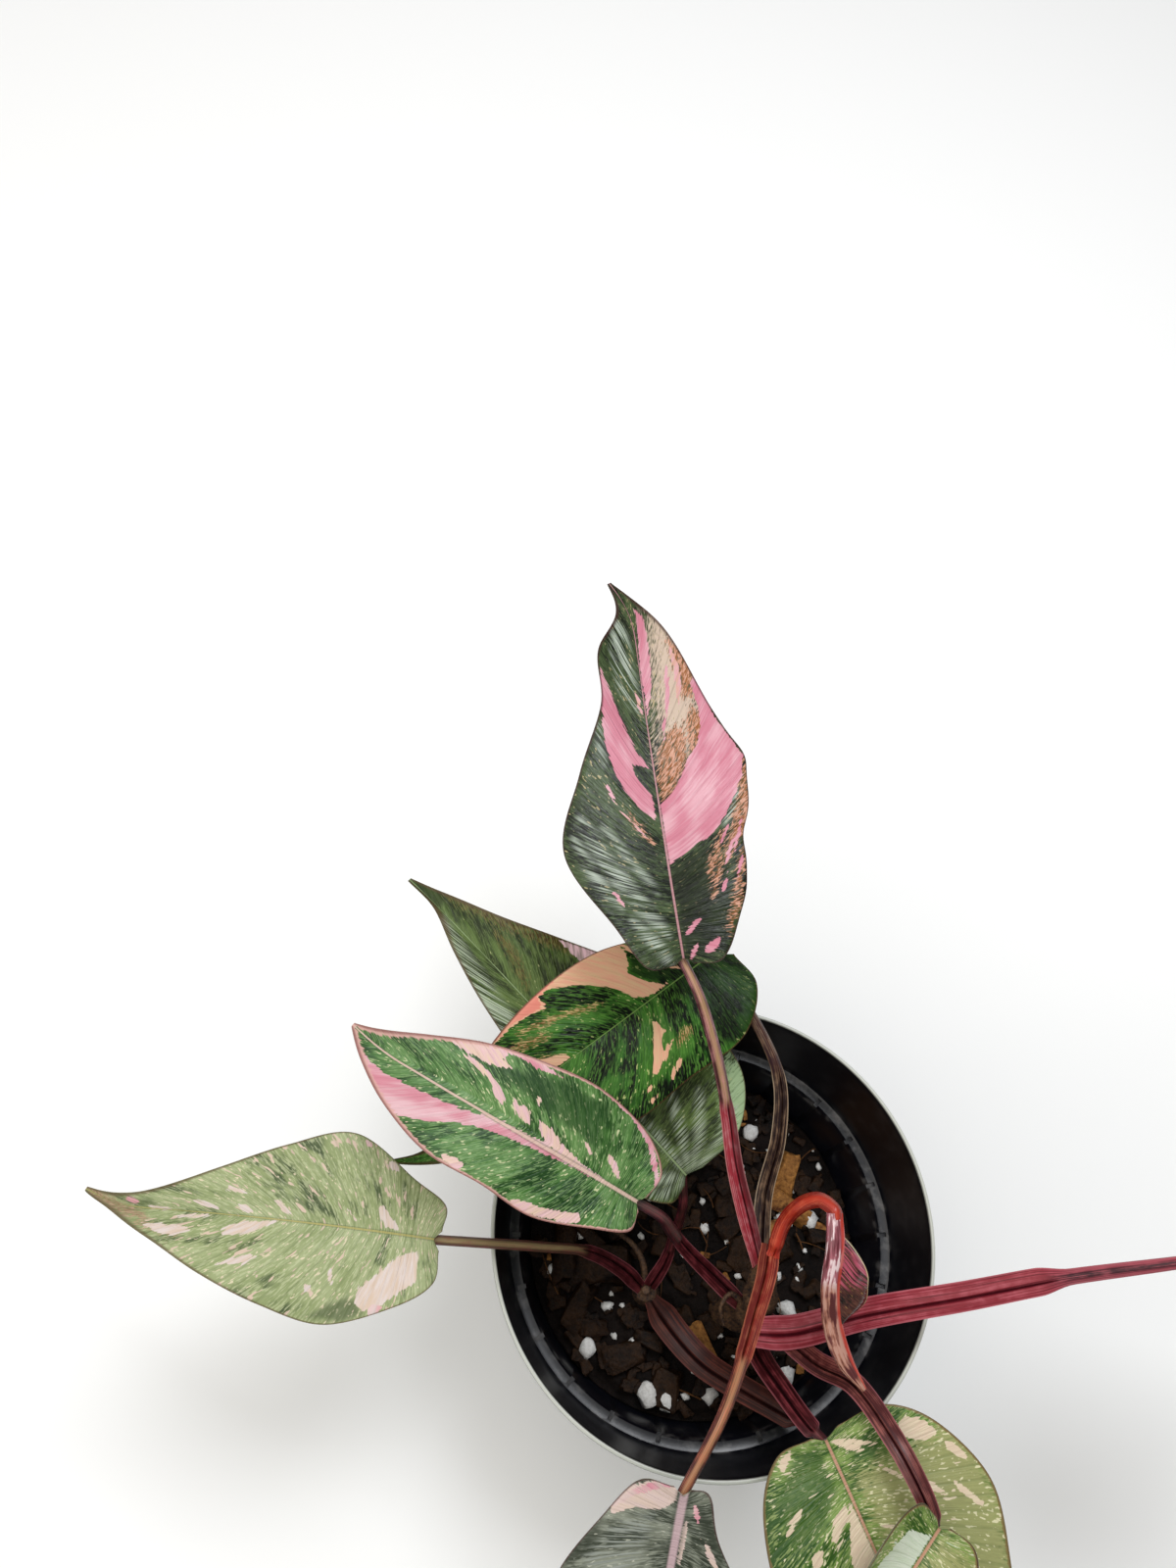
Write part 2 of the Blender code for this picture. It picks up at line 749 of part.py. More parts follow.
# Each stalk's node, as a share along its stem, and its curve without the two ends: the stem gives the
# first and the leaf gives the last
MAIN_STALKS = [
    Stalk(
        "top_stalk", 0.84,
        ((1.7, 9.9, 108), (-2.8, 20.8, 118), (-7.2, 30.3, 127), (-12.9, 41.4, 134)),
        5.4, 0.45, 1.5, "top_leaf",
    ),
    Stalk(
        "cream_stalk", 0.7,
        ((12.0, 8.0, 87), (13.2, 22.0, 95), (11.2, 34.8, 101.5), (3.6, 47.0, 105.5)),
        6.0, 0.62, 1.5, "cream_leaf",
    ),
    Stalk(
        "green_stalk", 0.5,
        ((2.4, -10.0, 79), (-5.6, -5.6, 88), (-10.8, -2.6, 98), (-14.6, -0.8, 107)),
        5.0, 0.5, 1.6, "green_leaf",
    ),
    Stalk(
        "front_stalk", 0.95,
        ((7.4, -18.4, 110), (3.8, -27.5, 118), (-0.8, -38.8, 124)),
        5.6, 0.55, 1.5, "front_leaf",
    ),
    Stalk(
        "low_stalk", 0.45,
        ((15.2, -25.6, 77), (18.9, -32.4, 88), (22.4, -37.8, 97)),
        6.4, 0.85, 1.5, "low_leaf",
    ),
    Stalk(
        "folded_stalk", 0.6,
        ((24.0, -25.2, 93), (31.0, -29.0, 103.5), (37.6, -38.2, 111), (43.0, -46.8, 112.6)),
        5.6, 0.6, 1.5, "folded_leaf",
    ),
    Stalk(
        "right_stalk", 0.68,
        ((20.6, -19.8, 91), (34.1, -14.4, 101), (52.0, -8.9, 113), (67.8, -3.8, 124), (84.0, 0.4, 136.5)),
        7.4, 0.66, 1.9, "right_leaf",
    ),
    Stalk(
        "new_stalk", 0.95,
        ((13.1, 1.2, 106.6), (15.2, 4.8, 113.5), (18.4, 6.0, 117.6), (21.2, 4.2, 119.5), (21.8, 2.2, 119.3)),
        4.8, 0.12, 2.3, end_rod=1.6, base_width=4.0,
    ),
]
SIDE_STALKS = [
    Stalk(
        "rear_stalk", 0.86,
        ((-8.0, -7.2, 66), (-7.2, -1.2, 74), (-6.8, 4.6, 83)),
        4.0, 0.35, 1.3, "rear_leaf",
    ),
    Stalk(
        "left_stalk", 0.84,
        ((-19.0, -10.6, 69), (-28.6, -8.6, 83), (-40.0, -9.6, 92), (-52.0, -10.8, 98)),
        4.6, 0.42, 1.3, "left_leaf",
    ),
    Stalk(
        "old_stalk", 0.76,
        ((-3.4, -23.2, 62.5), (3.3, -28.8, 65), (10.4, -32.4, 70), (18.0, -35.6, 76), (25.0, -38.6, 81)),
        7.6, 0.95, 1.3,
    ),
]


def lay_stalk(stalk, stem, leaves):
    """The stalk with its two ends added, from its stem to its leaf."""
    points = (stem.foothold(stalk.node, stalk.points[0]), *stalk.points)
    if stalk.leaf:
        points += (leaves[stalk.leaf].stalk_end(stalk.end_rod),)
    return replace(stalk, points=points)


def main():
    """Clears the scene and builds the pot, the mix, the stems and the leaves."""
    for obj in list(bpy.data.objects):
        bpy.data.objects.remove(obj)
    plastic = material("black pot plastic", (0.012, 0.012, 0.014), 0.42)
    mix = material("potting mix", (0.030, 0.018, 0.011), 0.95)
    bark = material("stem skin", (0.16, 0.06, 0.035), 0.6)
    green = material("variegated blade", (0.055, 0.10, 0.035), 0.4)
    wine = material("wine red stalk", (0.20, 0.022, 0.030), 0.35)

    make_pot(plastic)
    make_soil(mix, (MAIN_STEM, SIDE_STEM))
    for stem in (MAIN_STEM, SIDE_STEM):
        stem.build(bark)
    leaves = {leaf.name: leaf for leaf in LEAVES}
    for stem, stalks in ((MAIN_STEM, MAIN_STALKS), (SIDE_STEM, SIDE_STALKS)):
        for stalk in stalks:
            lay_stalk(stalk, stem, leaves).build(wine)
    for leaf in LEAVES:
        leaf.build(green)
    NEW_LEAF.build(wine)


main()
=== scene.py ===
"""Looks for a pink princess philodendron in its black nursery pot.

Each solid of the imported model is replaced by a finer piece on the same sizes: the blades are grids shaped by the
leaf's own formula and painted sector by sector, the stalks and stems are lofted skins, the pot is spun from its
section and the potting mix is filled with bark, perlite and fibres. Lengths are in millimetres until a mesh is
finished, and MM turns them into Blender's metres.
"""

import logging
import math
import random
from dataclasses import dataclass, field, replace
from enum import Enum

import bpy
import numpy as np
from mathutils import Matrix, Vector, noise


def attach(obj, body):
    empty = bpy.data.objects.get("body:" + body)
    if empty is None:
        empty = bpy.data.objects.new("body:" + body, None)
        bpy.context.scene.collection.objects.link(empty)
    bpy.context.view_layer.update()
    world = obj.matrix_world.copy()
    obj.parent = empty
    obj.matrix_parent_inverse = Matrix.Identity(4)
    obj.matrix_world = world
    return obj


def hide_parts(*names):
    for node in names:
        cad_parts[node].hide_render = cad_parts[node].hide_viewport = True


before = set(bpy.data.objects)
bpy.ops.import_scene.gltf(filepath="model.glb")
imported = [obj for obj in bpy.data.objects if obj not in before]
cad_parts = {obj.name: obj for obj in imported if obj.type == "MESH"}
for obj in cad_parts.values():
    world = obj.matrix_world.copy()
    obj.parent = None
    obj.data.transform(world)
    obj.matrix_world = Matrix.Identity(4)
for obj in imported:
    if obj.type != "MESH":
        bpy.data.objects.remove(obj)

LOG = logging.getLogger("looks")
MM = 0.001
UP = np.array((0.0, 0.0, 1.0))
BODY = "root"
MIX_A, MIX_B = 6, 7  # the colour inputs of a Mix node

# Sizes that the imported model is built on
POT_HEIGHT = 92.0
RIM_RADIUS = 52.5
COLLAR_HEIGHT = 23.0
COLLAR_TAPER = 3.0
SHOULDER_WIDTH = 3.0
WALL = 1.1
BASE_RADIUS = 36.5
FLOOR = 1.8
SHOULDER_Z = POT_HEIGHT - COLLAR_HEIGHT
SHOULDER_RADIUS = RIM_RADIUS - COLLAR_TAPER - WALL
SOIL_Z = 54.0
SOIL_ROUGHNESS = 1.6
SOIL_GRAIN = 0.09
SOIL_SEED = 7
BLADE_THICKNESS = 0.8
STATIONS = (0.08, 0.26, 0.44, 0.62, 0.78, 0.90)
TIP_WIDTH = 0.5
SINUS = 0.16
VEIN_CROWDING = 1.9
VEIN_CURVE = 1.3
TAIL_START = 0.78
STALK_GAP = 0.42

Point = tuple[float, float, float]
Flat = tuple[float, float]


def linear(colour: str) -> tuple[float, float, float, float]:
    """Turns an sRGB hex colour into linear red, green, blue and alpha.

    Args:
        colour: Six hex digits after a number sign.

    Returns:
        The four values for a shader socket.
    """
    parts = [int(colour[i : i + 2], 16) / 255 for i in (1, 3, 5)]
    return (*(p / 12.92 if p <= 0.04045 else ((p + 0.055) / 1.055) ** 2.4 for p in parts), 1.0)


def add_node(tree: bpy.types.NodeTree, kind: str, at: dict | None = None, **settings: object) -> bpy.types.NodeSocket:
    """Adds one shader node with its settings and links.

    Args:
        tree: The material's node tree.
        kind: The node's type.
        at: What goes into its inputs, by name or number: a socket is linked, a value is set.
        settings: The node's own properties.

    Returns:
        The node's first output in use, or None.
    """
    node = tree.nodes.new(kind)
    for name, value in settings.items():
        setattr(node, name, value)
    for key, value in (at or {}).items():
        if isinstance(value, bpy.types.NodeSocket):
            tree.links.new(value, node.inputs[key])
        else:
            node.inputs[key].default_value = value
    return next((socket for socket in node.outputs if socket.enabled), None)


def new_material(name: str) -> tuple[bpy.types.Material, bpy.types.NodeTree]:
    """An empty node material.

    Args:
        name: What the real finish is.

    Returns:
        The material and its node tree.
    """
    made = bpy.data.materials.new(name)
    made.use_nodes = True
    made.node_tree.nodes.clear()
    return made, made.node_tree


def finish_material(tree: bpy.types.NodeTree, shader: bpy.types.NodeSocket) -> None:
    """Links the finished shader to the material's output."""
    add_node(tree, "ShaderNodeOutputMaterial", {"Surface": shader})


def smooth(share: np.ndarray) -> np.ndarray:
    """An even step from 0 to 1 with flat ends."""
    share = np.clip(share, 0.0, 1.0)
    return share * share * (3 - 2 * share)


def chain(points: object, shares: object) -> np.ndarray:
    """Places at shares from 0 to 1 along a Catmull-Rom curve.

    Args:
        points: The curve's points, evenly counted.
        shares: A number or an array of shares.

    Returns:
        An array with one more axis than shares, which holds the places.
    """
    points = np.array(points, float)
    padded = np.vstack([2 * points[0] - points[1], points, 2 * points[-1] - points[-2]])
    spans = len(points) - 1
    place = np.clip(np.asarray(shares, float), 0, 1) * spans
    i = np.minimum(place.astype(int), spans - 1)
    t = (place - i)[..., None]
    before, a, b, after = (padded[i + k] for k in range(4))
    return 0.5 * (
        2 * a
        + (b - before) * t
        + (2 * before - 5 * a + 4 * b - after) * t**2
        + (3 * a - before - 3 * b + after) * t**3
    )


def headings(heading: object, pitch: object) -> np.ndarray:
    """Unit vectors at arrays of compass headings and rises, in degrees."""
    h, p = np.radians(heading), np.radians(pitch)
    return np.stack([np.cos(h) * np.cos(p), np.sin(h) * np.cos(p), np.sin(p)], axis=-1)


def unit(vectors: np.ndarray) -> np.ndarray:
    """The same vectors with a length of 1."""
    return vectors / np.linalg.norm(vectors, axis=-1, keepdims=True)


def only(obj: bpy.types.Object) -> None:
    """Selects one object alone and makes it active."""
    for other in bpy.context.selected_objects:
        other.select_set(False)
    obj.hide_set(False)
    obj.select_set(True)
    bpy.context.view_layer.objects.active = obj


def edit(obj: bpy.types.Object, *steps: object) -> None:
    """Runs edit-mode steps on everything of a mesh.

    Args:
        obj: The object to edit.
        steps: Functions without arguments, each one operator call.
    """
    only(obj)
    bpy.ops.object.mode_set(mode="EDIT")
    bpy.ops.mesh.select_all(action="SELECT")
    for step in steps:
        step()
    bpy.ops.object.mode_set(mode="OBJECT")


def set_places(obj: bpy.types.Object, places: np.ndarray) -> None:
    """Puts a mesh's points at places given in millimetres."""
    obj.data.vertices.foreach_set("co", (places.reshape(-1) * MM).astype(np.float32))
    obj.data.update()


def set_field(obj: bpy.types.Object, name: str, values: np.ndarray) -> None:
    """Keeps three numbers for each point of a mesh, which its material reads by name."""
    layer = obj.data.attributes.new(name, "FLOAT_VECTOR", "POINT")
    layer.data.foreach_set("vector", values.reshape(-1).astype(np.float32))


def apply_modifiers(obj: bpy.types.Object) -> None:
    """Applies all of an object's modifiers in their order."""
    only(obj)
    for modifier in list(obj.modifiers):
        bpy.ops.object.modifier_apply(modifier=modifier.name)


def shaped_grid(name: str, places: np.ndarray) -> bpy.types.Object:
    """A grid primitive whose points are moved to a table of places.

    Args:
        name: The piece's name.
        places: Rows of places in millimetres.

    Returns:
        The new object, at the origin.
    """
    rows, columns = places.shape[:2]
    for other in bpy.context.selected_objects:
        other.select_set(False)
    bpy.ops.mesh.primitive_grid_add(x_subdivisions=columns - 1, y_subdivisions=rows - 1, size=1.0)
    made = bpy.context.active_object
    made.name = name
    made.data.name = name
    set_places(made, places)
    return made


def lofted(name: str, rings: np.ndarray, fields: dict[str, np.ndarray], capped: bool = True) -> bpy.types.Object:
    """A closed skin through rings, from a grid primitive whose two long edges are joined.

    Args:
        name: The piece's name.
        rings: Rows of places, each row once round.
        fields: Values for each place, kept on the mesh by name.
        capped: Whether both ends are filled.

    Returns:
        The new object with its faces pointing outwards.
    """
    wrap = lambda table: np.concatenate([table, table[:, :1]], axis=1)
    made = shaped_grid(name, wrap(rings))
    for key, values in fields.items():
        set_field(made, key, wrap(values))
    steps = [lambda: bpy.ops.mesh.remove_doubles(threshold=0.00001)]
    if capped:
        steps.append(lambda: bpy.ops.mesh.select_all(action="DESELECT"))
        steps.append(lambda: bpy.ops.mesh.select_mode(type="EDGE"))
        steps.append(lambda: bpy.ops.mesh.select_non_manifold())
        steps.append(lambda: bpy.ops.mesh.fill_holes(sides=0))
        steps.append(lambda: bpy.ops.mesh.select_mode(type="VERT"))
        steps.append(lambda: bpy.ops.mesh.select_all(action="SELECT"))
    steps.append(lambda: bpy.ops.mesh.normals_make_consistent(inside=False))
    edit(made, *steps)
    return made


def keep(obj: bpy.types.Object, finish: bpy.types.Material, slot: str, *nodes: str, sharp: float = 40.0) -> None:
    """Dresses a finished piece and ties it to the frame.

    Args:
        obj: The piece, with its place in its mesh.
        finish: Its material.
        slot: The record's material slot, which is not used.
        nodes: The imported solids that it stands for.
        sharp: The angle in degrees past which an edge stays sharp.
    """
    only(obj)
    bpy.ops.object.shade_smooth_by_angle(angle=math.radians(sharp))
    obj.data.materials.clear()
    obj.data.materials.append(finish)
    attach(obj, BODY)
    if nodes:
        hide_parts(*nodes)
    LOG.info("%s: %d faces", obj.name, len(obj.data.polygons))


class Paint(Enum):
    """What a patch on a blade is, by the field that holds it and its place in that field."""

    PINK = ("patch", 0)
    CREAM = ("patch", 1)
    OCHRE = ("patch", 2)
    DEEP = ("tone", 0)
    PALE = ("tone", 1)
    # Painted sheen: pale streaks that stand for light mirrored in the leaf's skin
    SILVER = ("tone", 2)
    GREEN = ("", 0)


@dataclass(frozen=True)
class Patch:
    """A patch of colour on a flat blade.

    The points are millimetres along the midrib from its base and across it, where the right half counts up and
    the left half down. With no width they go round the patch, and with a width they are a streak's line.
    """

    paint: Paint
    points: tuple[Flat, ...]
    width: float = 0.0

    def depth(self, flat: np.ndarray) -> np.ndarray:
        """How deep each place lies in the patch, in millimetres, and below zero outside it.

        Args:
            flat: Places along and across the blade.

        Returns:
            One depth for each place.
        """
        corners = np.array(self.points, float)
        ends = corners[1:] if self.width else np.roll(corners, -1, axis=0)
        nearest = np.full(flat.shape[:-1], 1e9)
        inside = np.zeros(flat.shape[:-1], bool)
        for i, (a, b) in enumerate(zip(corners, ends)):
            span = b - a
            share = np.clip(((flat - a) @ span) / (span @ span), 0, 1)
            distance = np.linalg.norm(flat - a - share[..., None] * span, axis=-1)
            if self.width:
                along = (i + share) / len(ends)
                distance = distance - self.width / 2 * np.sqrt(np.clip(4.2 * along * (1.02 - along), 0, 1))
            nearest = np.minimum(nearest, distance)
            crosses = (a[1] > flat[..., 1]) != (b[1] > flat[..., 1])
            rise = b[1] - a[1] if b[1] != a[1] else 1e-9
            inside ^= crosses & (flat[..., 0] < a[0] + (flat[..., 1] - a[1]) * span[0] / rise)
        if self.width:
            return -nearest
        return np.where(inside, nearest, -nearest)


@dataclass(frozen=True)
class BladeFinish:
    """The skin of a variegated philodendron blade.

    The real skin is a waxy, leathery leaf surface over cells that hold green or none, so the eye sees soft gloss
    broken by fine veins, greens in crisp flakes that follow the veins, and pink or cream where no green is.
    """

    deep: str = "#1b2a17"
    mid: str = "#3c5a30"
    light: str = "#7d9a62"
    pale: str = "#a9bf98"
    fleck: str = "#b9c39a"
    pink: str = "#e79db0"
    blush: str = "#f3cbd6"
    cream: str = "#e9d3c2"
    ochre: str = "#b5803f"
    tan: str = "#d8b394"
    # The colour of the painted sheen streaks; the opened flap uses it for pink vein streaks
    sheen_and_pink_streak: str = "#8f9d97"
    midrib: str = "#d9b6ad"
    edge: str = "#3b2420"
    under: str = "#6f7d5c"
    darkness: float = 0.5
    flecks: float = 0.5
    blotches: float = 0.2
    midrib_width: float = 0.45
    vein_gap: float = 2.4
    rim: str = "#d9b0a4"
    rim_width: float = 0.0
    gloss: float = 0.3
    roughness: float = 0.36
    seed: int = 1

    def material(self, name: str) -> bpy.types.Material:
        """Builds the blade's material.

        Args:
            name: The material's name.

        Returns:
            The material, which reads the fields that the blade's mesh keeps.
        """
        made, tree = new_material(name)
        split = {}
        for key in ("place", "patch", "tone", "line"):
            read = add_node(tree, "ShaderNodeAttribute", attribute_name=key).node.outputs["Vector"]
            split[key] = (read, *add_node(tree, "ShaderNodeSeparateXYZ", {0: read}).node.outputs)
        place, vein, out, _ = split["place"]
        _, pink, cream, ochre = split["patch"]
        _, deep, pale, sheen_and_pink_streak = split["tone"]
        _, midrib, margin, under = split["line"]

        def grain(wide: float, long: float, detail: float, shift: float) -> bpy.types.NodeSocket:
            """Noise drawn out along the veins, wide and long millimetres a feature."""
            scale = (1 / wide, 1 / long, max(0.25 / long, 0.08))
            start = (self.seed * 17.3 + shift, self.seed * 7.7 - shift, shift)
            spot = add_node(tree, "ShaderNodeMapping", {"Vector": place, "Scale": scale, "Location": start})
            return add_node(tree, "ShaderNodeTexNoise", {"Vector": spot, "Scale": 1.0, "Detail": detail})

        def step(value: object, low: float, high: float, top: float = 1.0) -> bpy.types.NodeSocket:
            """A smooth step of a value between two numbers, up to top."""
            at = {0: value, 1: low, 2: high, 3: 0.0, 4: top}
            return add_node(tree, "ShaderNodeMapRange", at, interpolation_type="SMOOTHSTEP")

        def sum_of(first: object, second: object, weight: float = 1.0, base: float = 0.0) -> bpy.types.NodeSocket:
            """first * weight + second, with base added."""
            added = add_node(tree, "ShaderNodeMath", {0: second, 1: base}, operation="ADD")
            return add_node(tree, "ShaderNodeMath", {0: first, 1: weight, 2: added}, operation="MULTIPLY_ADD")

        def times(first: object, second: object) -> bpy.types.NodeSocket:
            """first * second."""
            return add_node(tree, "ShaderNodeMath", {0: first, 1: second}, operation="MULTIPLY")

        def mixed(share: object, low: object, high: object) -> bpy.types.NodeSocket:
            """low turned into high by a share."""
            colours = [linear(c) if isinstance(c, str) else c for c in (low, high)]
            return add_node(tree, "ShaderNodeMix", {0: share, MIX_A: colours[0], MIX_B: colours[1]}, data_type="RGBA")

        # Cell files are 0.3 mm wide here, coarser than real ones, so that they show at this distance
        fine = grain(0.3, 1.7, 2.0, 3.0)
        teeth = grain(0.7, 5.0, 3.0, 11.0)
        flakes = grain(1.1, 5.0, 2.0, 23.0)
        clouds = grain(6.0, 14.0, 2.0, 41.0)
        hairs = grain(0.35, 13.0, 2.0, 31.0)
        dots = grain(0.5, 1.5, 1.0, 57.0)
        jag = sum_of(teeth, sum_of(fine, -0.25, 0.5), 1.7, -0.85)
        spread = sum_of(fine, times(sum_of(dots, -0.5), 4.0), 5.0, -2.5)

        centre = 0.68 + 0.14 * self.darkness
        green = mixed(step(sum_of(flakes, clouds, 0.5), centre - 0.10, centre + 0.09), self.deep, self.mid)
        green = mixed(step(clouds, 0.46, 0.66, 0.3), green, self.light)
        lighter = step(sum_of(fine, times(hairs, 0.6)), 0.78, 0.93, 0.35 + 0.4 * self.flecks)
        green = mixed(lighter, green, self.light)
        green = mixed(step(sum_of(deep, jag), -0.6, 1.2, 0.72), green, self.deep)
        green = mixed(step(sum_of(spread, pale, 2.0), -2.0, 2.5, 0.88), green, self.pale)
        low = 0.70 - 0.12 * self.flecks
        speck = step(sum_of(dots, times(clouds, 0.25), 0.75), low, low + 0.03)
        # Flecks fade inside deep patches: part of the painted shadow on the cream leaf's base, and the darker green
        # patches of the other leaves lose them too
        speck = times(speck, sum_of(step(deep, 3.0, -1.0), 0.2, 0.8))
        green = mixed(speck, green, self.fleck)
        low = 0.73 - 0.1 * self.blotches
        blotch = step(sum_of(grain(1.0, 3.8, 1.5, 71.0), times(teeth, 0.2), 0.8), low, low + 0.015)
        green = mixed(blotch, green, self.cream)
        # Painted sheen: inside the sheen patches pale streaks follow the veins and stand for light mirrored in the
        # quilted skin; on the flap they paint its pink veins
        streaks = grain(0.55, 22.0, 1.0, 83.0)
        shine = times(step(sheen_and_pink_streak, -1.4, 1.2), step(sum_of(hairs, times(streaks, 1.2)), 0.99, 1.26))
        green = mixed(times(shine, 0.85), green, self.sheen_and_pink_streak)

        count = add_node(tree, "ShaderNodeMath", {0: times(vein, 1 / self.vein_gap)}, operation="FRACT")
        beside = add_node(tree, "ShaderNodeMath", {0: sum_of(count, -0.5)}, operation="ABSOLUTE")
        ridge = step(beside, 0.0, 0.17)
        green = mixed(sum_of(ridge, 0.16, -0.16), green, self.deep)

        rusty = mixed(step(fine, 0.44, 0.60), self.ochre, self.tan)
        rusty = mixed(step(dots, 0.57, 0.61, 0.8), rusty, self.mid)
        skin = mixed(step(sum_of(ochre, spread), -0.35, 0.35, 0.9), green, rusty)
        bleached = mixed(step(sum_of(flakes, teeth, 0.7), 0.6, 1.1), self.cream, self.blush)
        skin = mixed(step(sum_of(cream, jag), -0.06, 0.06), skin, bleached)
        rosy = mixed(step(sum_of(clouds, times(hairs, 0.4)), 0.58, 0.86), self.pink, self.blush)
        skin = mixed(step(sum_of(pink, jag), -0.06, 0.06), skin, rosy)

        skin = mixed(sum_of(ridge, 0.04, -0.04), skin, self.deep)
        width = add_node(tree, "ShaderNodeMath", {0: midrib}, operation="ABSOLUTE")
        skin = mixed(step(width, self.midrib_width * 1.9, self.midrib_width, 0.45), skin, self.deep)
        skin = mixed(step(width, self.midrib_width, self.midrib_width * 0.45, 0.9), skin, self.midrib)
        if self.rim_width:
            skin = mixed(step(sum_of(jag, margin, 0.5), self.rim_width + 0.1, self.rim_width - 0.1, 0.9), skin, self.rim)
        skin = mixed(step(margin, 0.42, 0.12, 0.8), skin, self.edge)
        skin = mixed(times(under, 0.72), skin, self.under)

        relief = sum_of(sum_of(fine, times(ridge, 0.5), 0.4), times(hairs, 1.2))
        bump = add_node(tree, "ShaderNodeBump", {"Height": relief, "Strength": 0.6, "Distance": 0.00022})
        shader = add_node(
            tree,
            "ShaderNodeBsdfPrincipled",
            {
                "Base Color": skin, "Normal": bump, "Roughness": self.roughness, "IOR": 1.45,
                "Specular IOR Level": self.gloss,
            },
        )
        finish_material(tree, shader)
        return made


@dataclass(frozen=True)
class Leaf:
    """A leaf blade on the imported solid's own formula, with the patches that are painted on it.

    heading and pitch are the midrib's at its base. Over its length it turns by sweep and falls by droop, and its
    drip tip turns by tail as well. left and right are the half widths at STATIONS. frill moves the right margin
    out or in near shares of the length.
    """

    name: str
    base: Point
    heading: float
    pitch: float
    length: float
    left: tuple[float, ...]
    right: tuple[float, ...]
    lobe: float = 5.0
    sweep: float = 0.0
    droop: float = 0.0
    roll: float = 0.0
    tail: float = 0.0
    fold: float = 10.0
    cup: float = -12.0
    wave: float = 1.0
    waves: float = 2.5
    bow: float = 0.0
    frill: tuple[Flat, ...] = ()
    finish: BladeFinish = field(default_factory=BladeFinish)
    patches: tuple[Patch, ...] = ()

    ROWS = 150
    COLUMNS = 38
    THICKNESS = 0.5
    QUILTS = 9

    def outline(self, veins: np.ndarray, side: int) -> np.ndarray:
        """Lengths along and across the midrib where each vein meets the margin."""
        widths = self.right if side > 0 else self.left
        along = [-self.lobe, -0.85 * self.lobe, *(share * self.length for share in STATIONS), self.length]
        across = [SINUS * widths[0], 0.62 * widths[0], *widths, TIP_WIDTH]
        return np.moveaxis(chain(list(zip(along, across)), veins), -1, 0)

    def ways(self, shares: np.ndarray) -> np.ndarray:
        """The midrib's direction at shares of its length."""
        tail = smooth((shares - TAIL_START) / (1 - TAIL_START))
        return headings(self.heading + self.sweep * shares + self.tail * tail, self.pitch - self.droop * shares)

    def midrib(self, along: np.ndarray) -> tuple[np.ndarray, ...]:
        """Places, ways, right sides and upper normals at lengths along the midrib, from its base."""
        steps = 120
        middles = (np.arange(steps) + 0.5) / steps
        path = np.vstack([np.zeros(3), np.cumsum(self.ways(middles), axis=0) * self.length / steps])
        path += np.array(self.base)
        shares = np.clip(along / self.length, 0, 1)
        ways = self.ways(shares)
        marks = np.linspace(0, 1, steps + 1)
        places = np.stack([np.interp(shares, marks, path[:, k]) for k in range(3)], axis=-1)
        places = places + ways * np.minimum(along, 0)[..., None]
        level = unit(np.cross(ways, UP))
        roll = math.radians(self.roll)
        sides = level * math.cos(roll) - np.cross(level, ways) * math.sin(roll)
        return places, ways, sides, np.cross(sides, ways)

    def stalk_end(self, radius: float) -> Point:
        """Where a stalk of this radius stops, just under the blade where its midrib starts."""
        place, way, _, normal = (part[0] for part in self.midrib(np.zeros(1)))
        return tuple(place + way * 0.3 - normal * (radius + BLADE_THICKNESS / 2 + STALK_GAP))

    def half(self, veins: np.ndarray, outs: np.ndarray, side: int) -> tuple[np.ndarray, ...]:
        """One half of the blade's middle surface.

        Args:
            veins: Shares from base to tip.
            outs: Shares from the midrib out to the margin.
            side: 1 for the right half or -1 for the left.

        Returns:
            The places, and for each its vein, its length out, along and across, and what is left to the margin.
        """
        edge_along, edge_across = self.outline(veins, side)
        for share, reach in self.frill if side > 0 else ():
            edge_across = edge_across + reach * np.exp(-(((edge_along / self.length - share) / 0.045) ** 2))
        start = self.length * veins**VEIN_CROWDING
        along = start + (edge_along - start) * outs**VEIN_CURVE
        across = edge_across * outs
        half = max(self.right if side > 0 else self.left)
        places, _, sides, normals = self.midrib(along)
        fold, cup = math.radians(self.fold), math.radians(self.cup)
        turned = fold + cup * across / half
        level = (np.sin(turned) - math.sin(fold)) * half / cup
        rise = (math.cos(fold) - np.cos(turned)) * half / cup
        swell = np.sin(math.pi * np.clip(veins, 0, 1)) ** 0.5
        rise = rise + self.wave * np.sin(2 * math.pi * self.waves * veins + side) * outs**2 * swell
        # The skin is sunk at each side vein and stands up a little between two of them
        quilt = 0.15 * np.cos(2 * math.pi * self.QUILTS * veins) * np.sin(math.pi * np.clip(outs, 0, 1)) * swell
        rise = rise - quilt
        places = places + sides * (side * level)[..., None] + normals * rise[..., None]
        out = np.hypot(along - start, across)
        left_over = edge_across * (1 - outs)
        return places, veins * self.length * 1.1, out, along, side * across, left_over

    def build(self) -> None:
        """Makes the blade: a fine sheet with a rib under it, painted by its patches."""
        outs = np.linspace(0, 1, self.COLUMNS + 1)
        veins = np.linspace(0, 1, self.ROWS + 1)
        grid = np.meshgrid(veins, outs, indexing="ij")
        halves = [self.half(*grid, side) for side in (-1, 1)]
        table = [np.concatenate([a[:, :0:-1], b], axis=1) for a, b in zip(*halves)]
        places, vein, out, along, across, margin = table
        blade = shaped_grid(self.name + "_blade", places)

